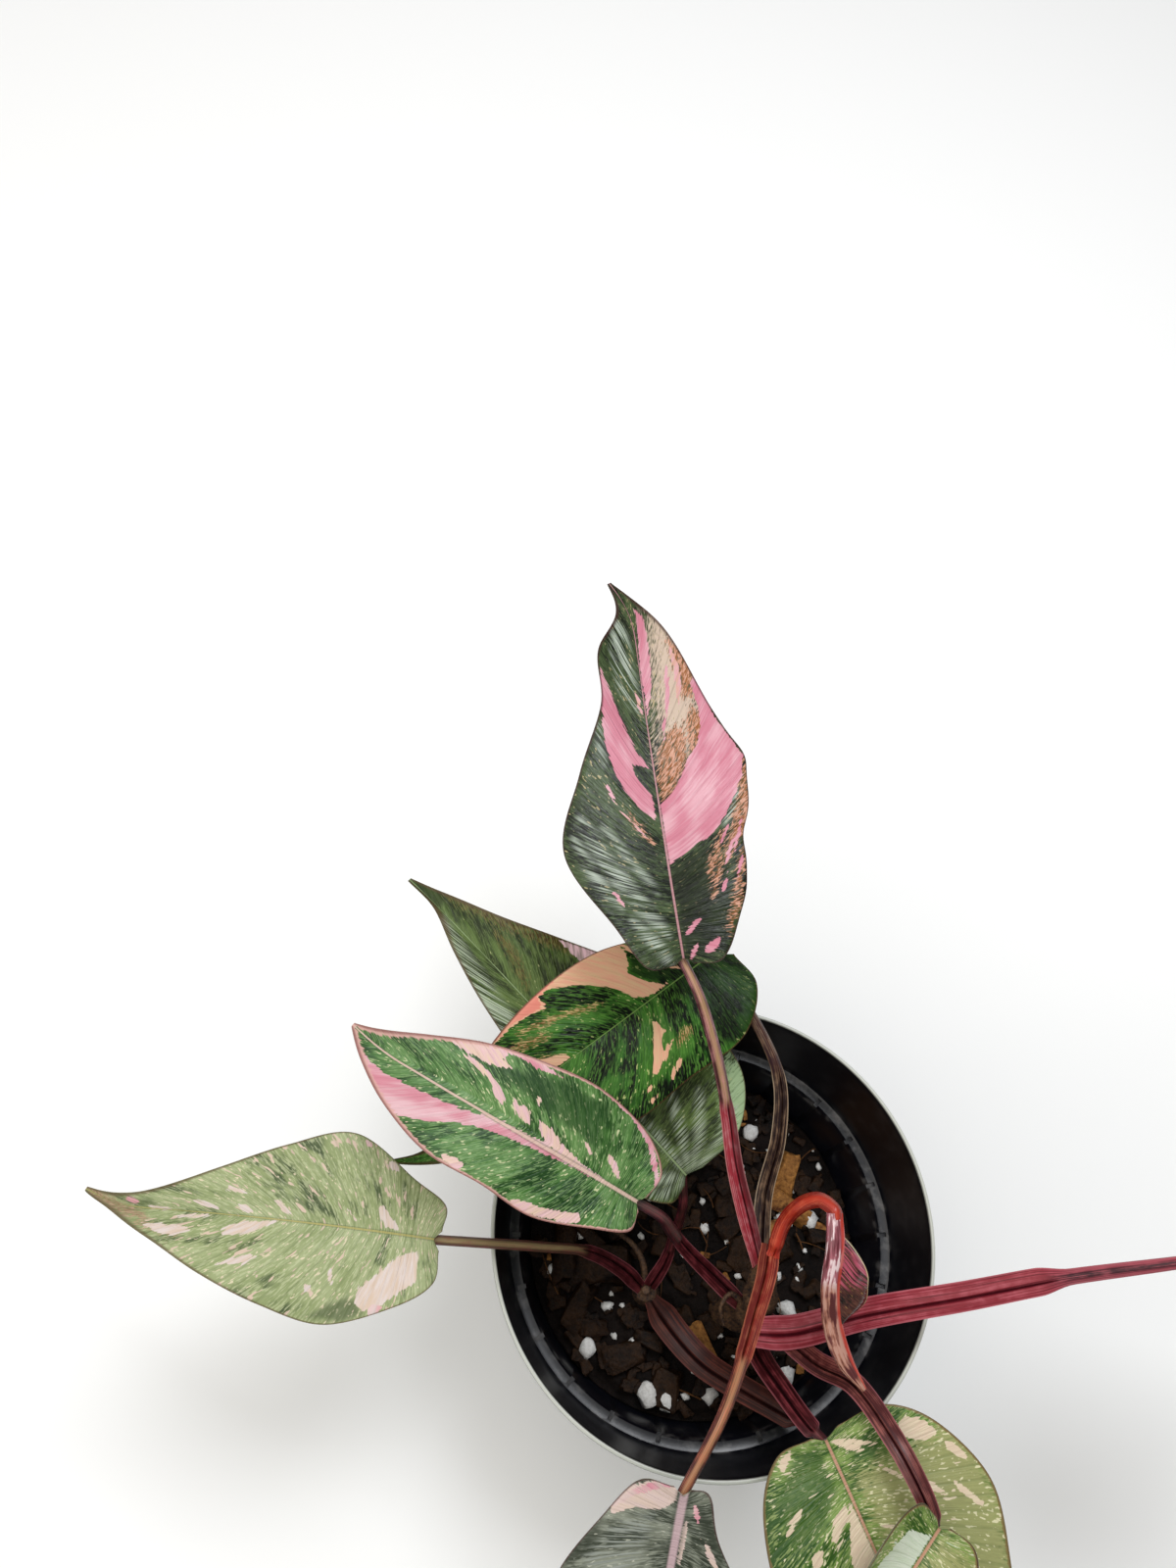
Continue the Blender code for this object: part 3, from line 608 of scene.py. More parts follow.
        flat = np.stack([along, across], axis=-1)
        fields = {"patch": np.full((*along.shape, 3), -9.0), "tone": np.full((*along.shape, 3), -9.0)}
        for patch in self.patches:
            if patch.paint is Paint.GREEN:
                for values in fields.values():
                    values[..., :2] = np.minimum(values[..., :2], -patch.depth(flat)[..., None])
                continue
            key, slot = patch.paint.value
            fields[key][..., slot] = np.maximum(fields[key][..., slot], patch.depth(flat))
        bow = self.bow * np.sin(math.pi * np.clip(along / self.length, 0, 1))
        spread = 1.0 + 1.6 * np.clip(along / self.length, 0, 1) ** 1.5
        fields["line"] = np.stack([(across - bow) * spread, margin, np.zeros_like(along)], axis=-1)
        fields["place"] = np.stack([vein, out, across], axis=-1)
        for key, values in fields.items():
            set_field(blade, key, np.clip(values, -9.0, 9.0) if key in ("patch", "tone") else values)

        thin = blade.vertex_groups.new(name="thin")
        for i, share in enumerate(np.clip(0.35 + margin.ravel() * 0.8, 0.35, 1.0)):
            thin.add([i], float(share), "REPLACE")
        wall = blade.modifiers.new("thickness", "SOLIDIFY")
        wall.thickness = self.THICKNESS * MM
        wall.offset = 0
        wall.vertex_group = "thin"
        apply_modifiers(blade)
        self.shape_underside(blade, along, across)
        keep(blade, self.finish.material(f"variegated leaf skin, {self.name}"), "blade", self.name, sharp=60)

    def shape_underside(self, blade: bpy.types.Object, along: np.ndarray, across: np.ndarray) -> None:
        """Marks the lower skin and raises the midrib under it.

        Args:
            blade: The blade with its thickness applied: its second half of points is one skin.
            along: Lengths along the midrib of the first skin's points.
            across: Lengths across it.
        """
        count = along.size
        places = np.empty(len(blade.data.vertices) * 3, np.float32)
        blade.data.vertices.foreach_get("co", places)
        places = places.reshape(-1, 3) / MM
        normals = self.midrib(along.ravel())[3]
        first_is_top = float(((places[:count] - places[count : 2 * count]) * normals).sum()) > 0
        low = np.arange(count) + (count if first_is_top else 0)
        share = np.clip(along.ravel() / self.length, 0, 1)
        rib = 0.75 * (1 - 0.75 * share) * np.exp(-((across.ravel() / (1.0 - 0.5 * share)) ** 2))
        rib *= np.clip((along.ravel() + 1.0) / 3.0, 0, 1)
        places[low] -= normals * rib[:, None]
        set_places(blade, places)
        line = blade.data.attributes["line"]
        values = np.empty(len(places) * 3, np.float32)
        line.data.foreach_get("vector", values)
        values = values.reshape(-1, 3)
        values[low, 2] = 1.0
        line.data.foreach_set("vector", values.reshape(-1))


TOP_FINISH = BladeFinish(
    deep="#11170a", mid="#2e3b1f", light="#586a44", pale="#d2bba8", fleck="#a79a72", cream="#cfa08c",
    ochre="#945a2a", tan="#cf9880", pink="#c67a8b", blush="#d7a3ad", sheen_and_pink_streak="#b4beb0", midrib="#b9868a",
    edge="#3e2422", darkness=0.45, flecks=0.5, blotches=-0.3, midrib_width=0.4, gloss=0.24, roughness=0.27, seed=3,
)
# Its near-black deep green also paints the top leaf's shadow on its base
CREAM_FINISH = BladeFinish(
    deep="#081205", mid="#2a5a1a", light="#5c8f3a", fleck="#b0b874", cream="#dcb58e", pink="#dd8676",
    blush="#e2a68a", ochre="#8a5432", tan="#c0a070", midrib="#6f8f48", edge="#4a3020", darkness=0.5,
    flecks=0.5, blotches=0.0, midrib_width=0.25, gloss=0.14, roughness=0.24, seed=5,
)
GREEN_FINISH = BladeFinish(
    deep="#1b3f13", mid="#3f6b2c", light="#83a468", pale="#b4c79d", fleck="#c0c496", cream="#d8bba4",
    pink="#c9818e", blush="#d9b1b6", midrib="#d3b3a4", edge="#7a4a44", rim="#cfa097", rim_width=0.55,
    darkness=0.45, flecks=0.6, blotches=-0.1, midrib_width=0.6, seed=8,
)
REAR_FINISH = BladeFinish(
    deep="#232e0d", mid="#4a5f2a", light="#76894f", pale="#9fb78b", fleck="#b5b780", ochre="#463614",
    tan="#6e6836", sheen_and_pink_streak="#b5c0a8", cream="#998781", midrib="#93a776", edge="#54422c", darkness=0.5,
    flecks=0.2, blotches=-1.0, midrib_width=0.35, gloss=0.2, seed=12,
)
# Its greens are painted light, partly for the sheen that lies over the whole leaf
LEFT_FINISH = BladeFinish(
    deep="#435230", mid="#8b9766", light="#bcc298", pale="#c2c99a", fleck="#d3c8a8", cream="#cfb8a4",
    ochre="#7d6244", tan="#b5947c", pink="#d59da0", blush="#d6c8c2", sheen_and_pink_streak="#c3cab0", midrib="#a8a060",
    edge="#5a4a30", darkness=-0.4, flecks=0.62, blotches=1.05, midrib_width=0.35, seed=15,
)
FRONT_FINISH = BladeFinish(
    deep="#343a2e", mid="#6e7263", light="#9b9f90", fleck="#b3b3a2", cream="#cdb7a8", pink="#cf8d99",
    blush="#cdb7b0", sheen_and_pink_streak="#8e938b", midrib="#bda2a5", edge="#4e3836", flecks=0.4, blotches=0.1,
    midrib_width=1.1, gloss=0.2, seed=18,
)
LOW_FINISH = BladeFinish(
    deep="#30521a", mid="#668539", light="#9fae6a", pale="#9a9a66", fleck="#d3cea6", cream="#d9c9ab",
    pink="#cf9f8b", blush="#d6bfa6", midrib="#c08e76", edge="#5e4a2c", rim="#7d6a40", rim_width=0.6,
    darkness=0.4, flecks=0.85, blotches=0.7, midrib_width=0.5, seed=21,
)
RIGHT_FINISH = BladeFinish(
    deep="#26401c", mid="#4a7038", light="#759560", fleck="#b3bf86", cream="#d9c1ac", midrib="#c08684",
    flecks=0.4, blotches=0.0, midrib_width=0.5, seed=26,
)

# S marks painted sheen streaks
P, C, O, G, D, L, S = (
    Paint.PINK, Paint.CREAM, Paint.OCHRE, Paint.GREEN, Paint.DEEP, Paint.PALE, Paint.SILVER,
)

TOP_PATCHES = (
    Patch(P, ((31, -1.4), (35, -5), (41, -8.6), (50, -10.8), (61, -10.6), (72, -9.6), (66, -8), (55, -5.6),
              (49, -3.6), (44.6, -1.2), (45.4, -5.2), (41, -4), (37.5, -1.2))),
    Patch(P, ((21, 0.2), (22.5, 3), (25, 7), (26, 10), (29, 13), (36, 17.6), (40, 19.6), (45, 21), (50, 19),
              (57, 16), (70, 13.6), (66, 11.8), (58, 12.6), (54, 12.4), (50, 11), (46, 8.5), (42, 6), (39, 4.5),
              (36.5, 2), (36, 0.3))),
    Patch(P, ((58, 0.4), (70, 0.2), (80, 0.7), (89, 1.8), (86, 2.9), (75, 3), (66, 2.3), (62, 1.4))),
    Patch(L, ((45, 1.2), (60, 2.6), (80, 3), (88, 5), (80, 10), (68, 13.5), (56, 14), (46, 9))),
    Patch(C, ((57, -0.7), (62, -1.9), (67, -1.9), (62, -0.9))),
    Patch(O, ((36, 0.8), (42, 0.8), (48, 1.6), (53, 4), (55, 7), (52, 8.8), (45, 8), (40, 5), (37, 3))),
    Patch(O, ((46, 9), (55, 8.6), (60, 11), (56, 14.4), (52, 13.4), (48, 11))),
    Patch(O, ((62, 9), (72, 8), (79, 7.4), (75, 11), (70, 13), (62, 12))),
    Patch(O, ((27, 15), (33, 17.5), (42, 19.6), (46, 20.5), (40, 22), (30, 20.5), (25, 18))),
    Patch(O, ((12, 8.5), (24, 13)), 1.0),
    Patch(O, ((17, 8.6), (27, 13.2)), 1.4),
    Patch(O, ((4, 11), (12, 14.4), (22, 17)), 1.8),
    Patch(O, ((20, 12.6), (27, 16.4), (34, 18)), 2.4),
    Patch(P, ((15, 14.4), (21, 16.8)), 0.7),
    Patch(P, ((24, 12.2), (29, 15)), 0.6),
    Patch(O, ((26, -3), (33, -7.4)), 0.9),
    Patch(P, ((19, 12.4), (25, 15.2)), 0.7),
    Patch(P, ((22, 15), (30, 18)), 0.8),
    Patch(P, ((13, 11), (18, 13)), 0.5),
    Patch(C, ((36.5, -10.4), (33, -8.4), (27, -3.6)), 0.6),
    Patch(P, ((0.5, 5), (3, 8.5)), 1.7),
    Patch(P, ((5, 1.5), (8, 5)), 0.9),
    Patch(P, ((-0.5, 1.6), (2.6, 3.6)), 1.0),
    Patch(P, ((36, -10.4), (41, -11.6)), 0.9),
    Patch(P, ((12, -11), (16, -13.4)), 0.8),
    Patch(D, ((0, 0.5), (20, 0.5), (25, 9), (20, 13), (8, 13), (0, 9))),
    # Painted sheen streaks on the left half and the tip
    Patch(S, ((5, -2.4), (12, -7.4), (22, -13.6), (33, -18.6)), 3.4),
    Patch(S, ((12, -12), (20, -17), (29, -20.4)), 2.0),
    Patch(S, ((15, -3.4), (23, -8.8), (31, -13.6)), 1.2),
    Patch(S, ((-1, -3), (4, -6), (9, -10)), 2.4),
    Patch(S, ((45, -11.6), (50, -12.2), (56, -11.8)), 1.0),
    Patch(S, ((59, -1.6), (66, -3.6), (76, -4.2), (86, -3.6)), 4.4),
    Patch(S, ((28, 14), (34, 17.6), (38, 18.6)), 2.2),
    Patch(P, ((57, 4.6), (64, 6), (72, 6.4)), 0.9),
    Patch(P, ((51, 3.4), (58, 4.4)), 0.7),
    Patch(C, ((60, 8), (70, 9), (77, 7.8)), 1.2),
    Patch(G, ((47, 1.6), (52, 2.1), (58, 2.4)), 1.2),
)
CREAM_PATCHES = (
    Patch(C, ((9, 0.6), (20, 0.8), (23, 3), (25.5, 7), (30, 11.4), (35, 14.4), (38, 16.3), (41.4, 16), (41, 12.8),
              (45, 13.8), (50, 14.2), (57, 13), (58, 16), (50, 20), (38, 21), (26, 21), (16, 20), (13, 8))),
    Patch(P, ((38, 16.6), (41.6, 16.2), (42, 13.6), (50, 14.6), (58, 13), (60, 18), (48, 22), (34, 22), (34, 17))),
    Patch(G, ((9, -0.5), (15.5, 1.2), (19, 5), (21, 8.2), (19.4, 9.9), (18.4, 13), (18.6, 19), (10, 19), (8, 6))),
    Patch(D, ((9, -0.5), (15.5, 1.2), (19, 5), (21, 8.2), (19.4, 9.9), (18.4, 13), (18.6, 19), (10, 19), (8, 6))),
    Patch(C, ((8.6, 0.9), (12.2, 4.6), (15.4, 8.4), (17.4, 13), (18.2, 17)), 0.9),
    Patch(C, ((43, 0.3), (49, 0.3), (52, 2.2), (50, 4.5), (46, 3), (43.4, 1.6))),
    Patch(C, ((21.5, -8), (23.5, -9), (25.5, -12.4), (29, -14.8), (30, -14.3), (26.5, -9.6), (24, -6.4),
              (22.5, -3.8))),
    Patch(C, ((21.4, -10.4), (28, -13.8)), 1.0),
    Patch(C, ((22.4, -15), (27.4, -17.6)), 1.1),
    Patch(C, ((31.4, -16), (33.4, -16.4)), 1.0),
    Patch(C, ((31.5, -18.4), (34.5, -19)), 0.8),
    Patch(O, ((16, -10.5), (21, -12)), 1.6),
    Patch(O, ((44, 7.5), (54, 10)), 1.8),
    Patch(O, ((30, 6), (40, 9.6), (50, 12)), 1.1),
    Patch(O, ((47, 3.4), (58, 6)), 1.3),
    # Painted shadow: the base of the left half lies under the top leaf and is painted near-black deep green
    Patch(D, ((-4, -20), (12, -20), (13, 0), (-4, 0))),
)
GREEN_PATCHES = (
    Patch(P, ((12, -1.5), (22, -2.6), (30, -3.6), (38, -4.8), (44, -7), (50, -9.5), (55, -10.9), (62, -11.4),
              (70, -6), (74, -1.2), (68, -3.6), (63, -4.4), (55, -4.6), (47, -4), (40, -2.8), (30, -2.2), (20, -1.4))),
    Patch(C, ((9.5, -10.4), (12, -12.2), (17, -13.8), (22, -15.4), (26, -14.8), (24, -13.5), (19, -12.4),
              (14, -10.7), (11, -9.2))),
    Patch(C, ((38.5, -14.8), (42.6, -14.7), (43.2, -13.5), (40, -12.9), (38, -13.3))),
    Patch(C, ((15, -0.8), (20, -1.3), (24, -0.8), (27, 1), (28.2, 2.8), (25.5, 2.8), (21, 1), (17, 0.3))),
    Patch(C, ((7, -0.5), (18, -1.1), (30, -1.9), (40, -2.4)), 1.5),
    Patch(C, ((6.4, 1.8), (11.4, 4.8)), 1.1),
    Patch(C, ((29.4, 0.8), (32, 0.9), (33.6, 2.8), (32, 3.9), (30.4, 3.2))),
    Patch(C, ((33, 1.2), (35, 4)), 0.6),
    Patch(C, ((36.4, 1.5), (38.5, 2), (41, 4.2), (45, 5.4), (49.5, 6.6), (46, 7.1), (42, 5.9), (39, 4.6), (36.8, 2.7))),
    Patch(C, ((38, 9.2), (43, 7.7), (49, 7.5), (54, 7.9), (49, 9.8), (44, 11.4), (40, 12.4), (41.4, 10.2))),
    Patch(P, ((28, 13), (34, 11.9), (38, 12.2), (42, 11.4), (42, 12.6), (36, 13.6))),
    Patch(C, ((29.6, 5.3), (31, 7)), 0.8),
    Patch(C, ((14.5, 2.5), (17.2, 4.2)), 0.6),
    Patch(P, ((-4, 1.2), (-1, 6.5), (4, 11.8), (10, 14.6), (18, 15.4)), 1.3),
    Patch(D, ((14, 4), (30, 5), (42, 7), (40, 9), (28, 12.6), (16, 13.4))),
    Patch(D, ((64, -3.6), (68, -3.2), (72, -1.4), (67, -1.6))),
)
REAR_PATCHES = (
    # Painted sheen streaks at the base and along the left margin
    Patch(S, ((-1, 0.6), (4, 8), (12, 16)), 2.4),
    Patch(S, ((-1, 0.4), (8, 6), (20, 12)), 2.0),
    Patch(S, ((-1, 0.6), (0, 10), (3, 20)), 2.0),
    Patch(S, ((0, 0.2), (12, 1.2), (26, 1.4)), 1.8),
    Patch(S, ((-1, -0.6), (5, -6), (14, -11)), 2.4),
    Patch(S, ((-1, -0.6), (1, -7), (4, -12)), 1.8),
    Patch(L, ((-3, 12), (4, 18), (14, 24), (10, 30), (-3, 26))),
    Patch(S, ((50, -12), (70, -8), (86, -2.4), (86, -0.4), (70, -3.2), (50, -6))),
    Patch(O, ((40, 25), (56, 16.5), (72, 8), (84, 4), (90, 3), (90, 7.5), (74, 16), (56, 24), (44, 30))),
    Patch(O, ((58, 2), (66, 5), (74, 6)), 2.4),
    Patch(D, ((88, -6), (102, -4), (102, 6), (88, 7))),
    Patch(C, ((50, 16.4), (57, 16), (62, 16.2), (54, 20.5), (46, 25)),),
)
LEFT_PATCHES = (
    Patch(C, ((2, -9), (5, -11.5), (10, -15.6), (13, -16.6), (15, -14.5), (14.5, -12), (10, -8), (7, -4.5),
              (3, -3), (2.5, -6))),
    Patch(P, ((8.6, -15.2), (10.6, -17.6), (12.4, -16), (10.8, -14.8))),
    Patch(D, ((12, -17), (17, -19.4), (25, -19), (21, -15.8), (16, -13.5), (14.5, -14.6))),
    Patch(C, ((34, -0.2), (37, -1.6), (40, -3.2), (44, -4.4), (47, -4), (45, -2.2), (40, -0.8))),
    Patch(C, ((37.5, -8), (40, -9.8), (46.5, -10.6), (43, -9), (39, -7.6))),
    Patch(C, ((53, -3.6), (57, -5.4), (61, -4.9), (64.6, -3.4), (60, -3), (55, -3.1))),
    Patch(C, ((50, -0.5), (57, -1.3)), 0.8),
    Patch(C, ((58, 0.1), (64, 0.5)), 0.8),
    Patch(C, ((8, 1), (11, 1), (13.6, 4.5), (12.8, 5.8), (10.5, 4))),
    Patch(C, ((32, 1.5), (34, 1.5), (36.6, 4), (35, 4.3))),
    Patch(C, ((40.4, 1), (43, 1), (44, 2.3), (42, 2.5))),
    Patch(C, ((42.4, 4.9), (47.4, 5.6)), 1.1),
    Patch(C, ((48, 1), (54, 2.4)), 0.7),
    Patch(C, ((10.4, 13.4), (13, 14.6)), 1.3),
    Patch(P, ((17, 17.6), (18.6, 18.8)), 1.2),
    Patch(P, ((66.4, 1.2), (69.4, 1.6)), 1.2),
    Patch(C, ((17, 1), (20, 4)), 0.6),
    Patch(C, ((23.5, -15.2), (26, -12.6)), 1.2),
    Patch(C, ((20.4, -12.4), (21.4, -9)), 0.8),
    Patch(D, ((62, 0.8), (66, 0.6), (66, 2.4), (63, 2))),
    Patch(O, ((64, -2), (72, -0.6), (81, 0.4)), 2.6),
    Patch(O, ((56, -5.4), (66, -3)), 0.9),
)
FRONT_PATCHES = (
    Patch(C, ((-2, 1.4), (1, 1.3), (3, 4), (3.6, 8), (6, 12.5), (4, 14), (0, 10), (-2, 6))),
    Patch(P, ((-2, 2), (-1, 6), (1.5, 9.8), (5, 13.4)), 1.3),
    Patch(P, ((1, -2.4), (3.6, -3.6)), 0.9),
    Patch(C, ((7, -5.6), (12, -9)), 1.1),
    Patch(C, ((4, -1.4), (12, -1.4)), 0.9),
    Patch(D, ((0, -2), (5, -4), (12, -10), (8, -10), (2, -6))),
    Patch(D, ((6, 14), (12, 14), (18, 21), (10, 19))),
    # Painted sheen
    Patch(S, ((4, 5), (12, 6), (20, 14), (14, 16), (8, 12))),
    Patch(P, ((30, 1), (40, 6), (52, 17), (60, 14), (50, 5), (38, 0.8))),
    Patch(P, ((44, -1.2), (52, -8), (62, -9), (56, -4))),
)
LOW_PATCHES = (
    Patch(C, ((11.4, 0.7), (16, 0.4), (22, 0.3), (30, 0.8), (40, 4), (34, 8), (24, 6.4), (21, 5.6), (17, 3.6),
              (13.5, 1.8))),
    Patch(C, ((12, 2), (13.6, 2), (17, 7), (16, 8), (13, 5))),
    Patch(C, ((-1.6, 8), (0, 9), (1.6, 11.5), (0, 12.2))),
    Patch(C, ((16.4, 10.4), (18.6, 11), (19.8, 14.2), (17, 13))),
    Patch(C, ((9, 11), (11.6, 16)), 1.1),
    Patch(C, ((2.4, -17.4), (4, -20.4), (8, -22.6), (8.2, -19.5), (6, -15.6), (3, -15.2))),
    Patch(C, ((26, -15.4), (29, -18), (34, -18.6), (31, -16), (27, -15))),
    Patch(C, ((0.6, -0.9), (4.6, -6.4)), 1.1),
    Patch(C, ((0.6, -1.4), (4.6, -9.6)), 0.8),
    Patch(C, ((18, -3.4), (20, -7)), 0.6),
    Patch(C, ((12, -13), (18, -18)), 1.5),
    Patch(C, ((19, -10), (27, -14.6)), 1.1),
    Patch(C, ((17, -21), (24, -25)), 1.4),
    Patch(C, ((10, -23), (15, -26)), 1.6),
    Patch(C, ((30, -9), (38, -12)), 1.2),
    Patch(C, ((8, -8), (13, -12)), 0.8),
    Patch(D, ((0, -3), (3, -9), (7, -13), (11, -15), (8, -8), (4, -3))),
    Patch(D, ((0, 2), (9, 2), (14, 8), (16, 16), (6, 16), (0, 8))),
    Patch(L, ((6, -28), (8, -2), (40, -2), (50, -12), (40, -24), (24, -30))),
)
FOLDED_PATCHES = (
    Patch(C, ((2, 0.6), (60, 0.4), (52, 6), (36, 9.5), (16, 9.5), (4, 6))),
    Patch(L, ((0, -1), (60, -1), (50, -14), (20, -16), (0, -14))),
)
RIGHT_PATCHES = (
    Patch(P, ((16, 1), (26, 10), (40, 18), (52, 15), (40, 6), (28, 0.8))),
    Patch(C, ((30, -0.8), (38, -6), (50, -12), (58, -10), (46, -3))),
    Patch(P, ((58, 0.5), (70, 4), (78, 3), (66, 0.4))),
)

LEAVES = (
    Leaf("top_leaf", (-18.2, 49.4, 138.0), 106, 8, 99, (14, 23, 17.5, 10.5, 9.5, 3), (14, 19, 20.5, 15, 9.5, 3.5),
         lobe=1.5, sweep=-5, tail=26, droop=16,
         frill=((0.46, 1.1), (0.26, -1.3), (0.13, 0.6)), finish=TOP_FINISH, patches=TOP_PATCHES),
    Leaf("cream_leaf", (-8.0, 60.8, 110.0), 225, 4, 92, (20, 20, 20, 13.5, 5.5, 2), (10.5, 16.5, 17, 13.5, 6.5, 2),
         lobe=3.7, sweep=-4, tail=-34, droop=26, roll=-8, finish=CREAM_FINISH, patches=CREAM_PATCHES),
    Leaf("green_leaf", (-20.8, 0.8, 114.0), 156, 24, 74, (10, 15, 15, 15, 11, 5.5), (13.5, 15.5, 14, 11.5, 7, 3.5),
         lobe=1.5, sweep=7, tail=-14, droop=30, bow=-1.9, finish=GREEN_FINISH, patches=GREEN_PATCHES),
    Leaf("rear_leaf", (-7.7, 10.8, 91.0), 142, 14, 99, (12.5, 12.5, 11.5, 9, 5, 1), (27.5, 29, 25, 17, 9, 4),
         lobe=1.5, tail=2, droop=14, finish=REAR_FINISH, patches=REAR_PATCHES),
    Leaf("left_leaf", (-63.9, -11.8, 102.0), 180, 6, 80, (15, 20, 17.5, 12.5, 6.5, 2), (12, 20, 16, 10, 4.5, 2),
         lobe=1.5, sweep=4, tail=-22, droop=16, finish=LEFT_FINISH, patches=LEFT_PATCHES),
    Leaf("front_leaf", (-7.0, -52.3, 125.0), 265, -16, 77, (8, 16.5, 17.5, 13.5, 8, 3), (14, 21.5, 20.5, 15.5, 9, 3),
         lobe=1.5, sweep=10, tail=5, droop=30, fold=4, finish=FRONT_FINISH, patches=FRONT_PATCHES),
    Leaf("low_leaf", (25.5, -40.4, 102.0), 300, 4, 79, (23.5, 29, 25, 18, 9.5, 3), (18.5, 22.5, 20.5, 15, 8.5, 3),
         lobe=1.5, sweep=4, tail=-29, droop=36, finish=LOW_FINISH, patches=LOW_PATCHES),
    Leaf("folded_leaf", (45.9, -52.6, 114.0), 238, -6, 66, (12, 14, 13.5, 10.5, 6, 2.5), (12, 14, 13.5, 10.5, 6, 2.5),
         lobe=1.5, droop=20, fold=12, cup=64, finish=replace(LOW_FINISH, cream="#bfcab4", blush="#cdd3c4", edge="#3a1c1e", seed=31),
         patches=FOLDED_PATCHES),
    Leaf("right_leaf", (94.0, 3.0, 143.0), 8, 10, 86, (19, 20, 17.5, 13, 7, 2.5), (19, 20, 17.5, 13, 7, 2.5),
         droop=30, finish=RIGHT_FINISH, patches=RIGHT_PATCHES),
)


@dataclass(frozen=True)
class PotPlastic:
    """Black polypropylene, injection moulded: satin, with a fine mould grain, dust in its corners and a grey lip,
    painted for scuffs and for a highlight along the rim."""

    colour: str = "#090a11"
    dust: str = "#62605f"
    scuff_and_highlight: str = "#c3c5bb"
    roughness: float = 0.3

    def material(self) -> bpy.types.Material:
        """Builds the pot's material."""
        made, tree = new_material("black polypropylene, moulded")
        where = add_node(tree, "ShaderNodeTexCoord").node.outputs["Object"]
        spot = add_node(tree, "ShaderNodeSeparateXYZ", {0: where}).node.outputs
        # Dust lies on the inner shelf in patches some 4 mm across, and mould grain is 0.4 mm
        cloud = add_node(tree, "ShaderNodeTexNoise", {"Vector": where, "Scale": 260.0, "Detail": 5.0})
        grain = add_node(tree, "ShaderNodeTexNoise", {"Vector": where, "Scale": 2500.0, "Detail": 2.0})
        near = {0: spot[2], 1: SHOULDER_Z * MM, 2: (SHOULDER_Z + 1.5) * MM, 3: 1.0, 4: 0.1}
        high = add_node(tree, "ShaderNodeMapRange", near, interpolation_type="SMOOTHSTEP")
        above = {0: spot[2], 1: (SHOULDER_Z - 2.5) * MM, 2: (SHOULDER_Z - 1.5) * MM, 3: 0.04, 4: 1.0}
        above = add_node(tree, "ShaderNodeMapRange", above)
        shelf = add_node(tree, "ShaderNodeMath", {0: high, 1: above}, operation="MULTIPLY")
        dusty = add_node(tree, "ShaderNodeMapRange", {0: cloud, 1: 0.5, 2: 0.7, 3: 0.0, 4: 0.8})
        dusty = add_node(tree, "ShaderNodeMath", {0: dusty, 1: shelf}, operation="MULTIPLY")
        # The top of the lip is painted grey: scuffs, and a painted highlight along the rim
        lip = {0: spot[2], 1: (POT_HEIGHT - 0.7) * MM, 2: (POT_HEIGHT - 0.2) * MM, 3: 0.0, 4: 0.9}
        lip = add_node(tree, "ShaderNodeMapRange", lip, interpolation_type="SMOOTHSTEP")
        colour = {0: dusty, MIX_A: linear(self.colour), MIX_B: linear(self.dust)}
        colour = add_node(tree, "ShaderNodeMix", colour, data_type="RGBA")
        colour = {0: lip, MIX_A: colour, MIX_B: linear(self.scuff_and_highlight)}
        colour = add_node(tree, "ShaderNodeMix", colour, data_type="RGBA")
        bump = add_node(tree, "ShaderNodeBump", {"Height": grain, "Strength": 0.12, "Distance": 0.0001})
        at = {"Base Color": colour, "Normal": bump, "Roughness": self.roughness, "IOR": 1.49, "Specular IOR Level": 0.4}
        finish_material(tree, add_node(tree, "ShaderNodeBsdfPrincipled", at))
        return made


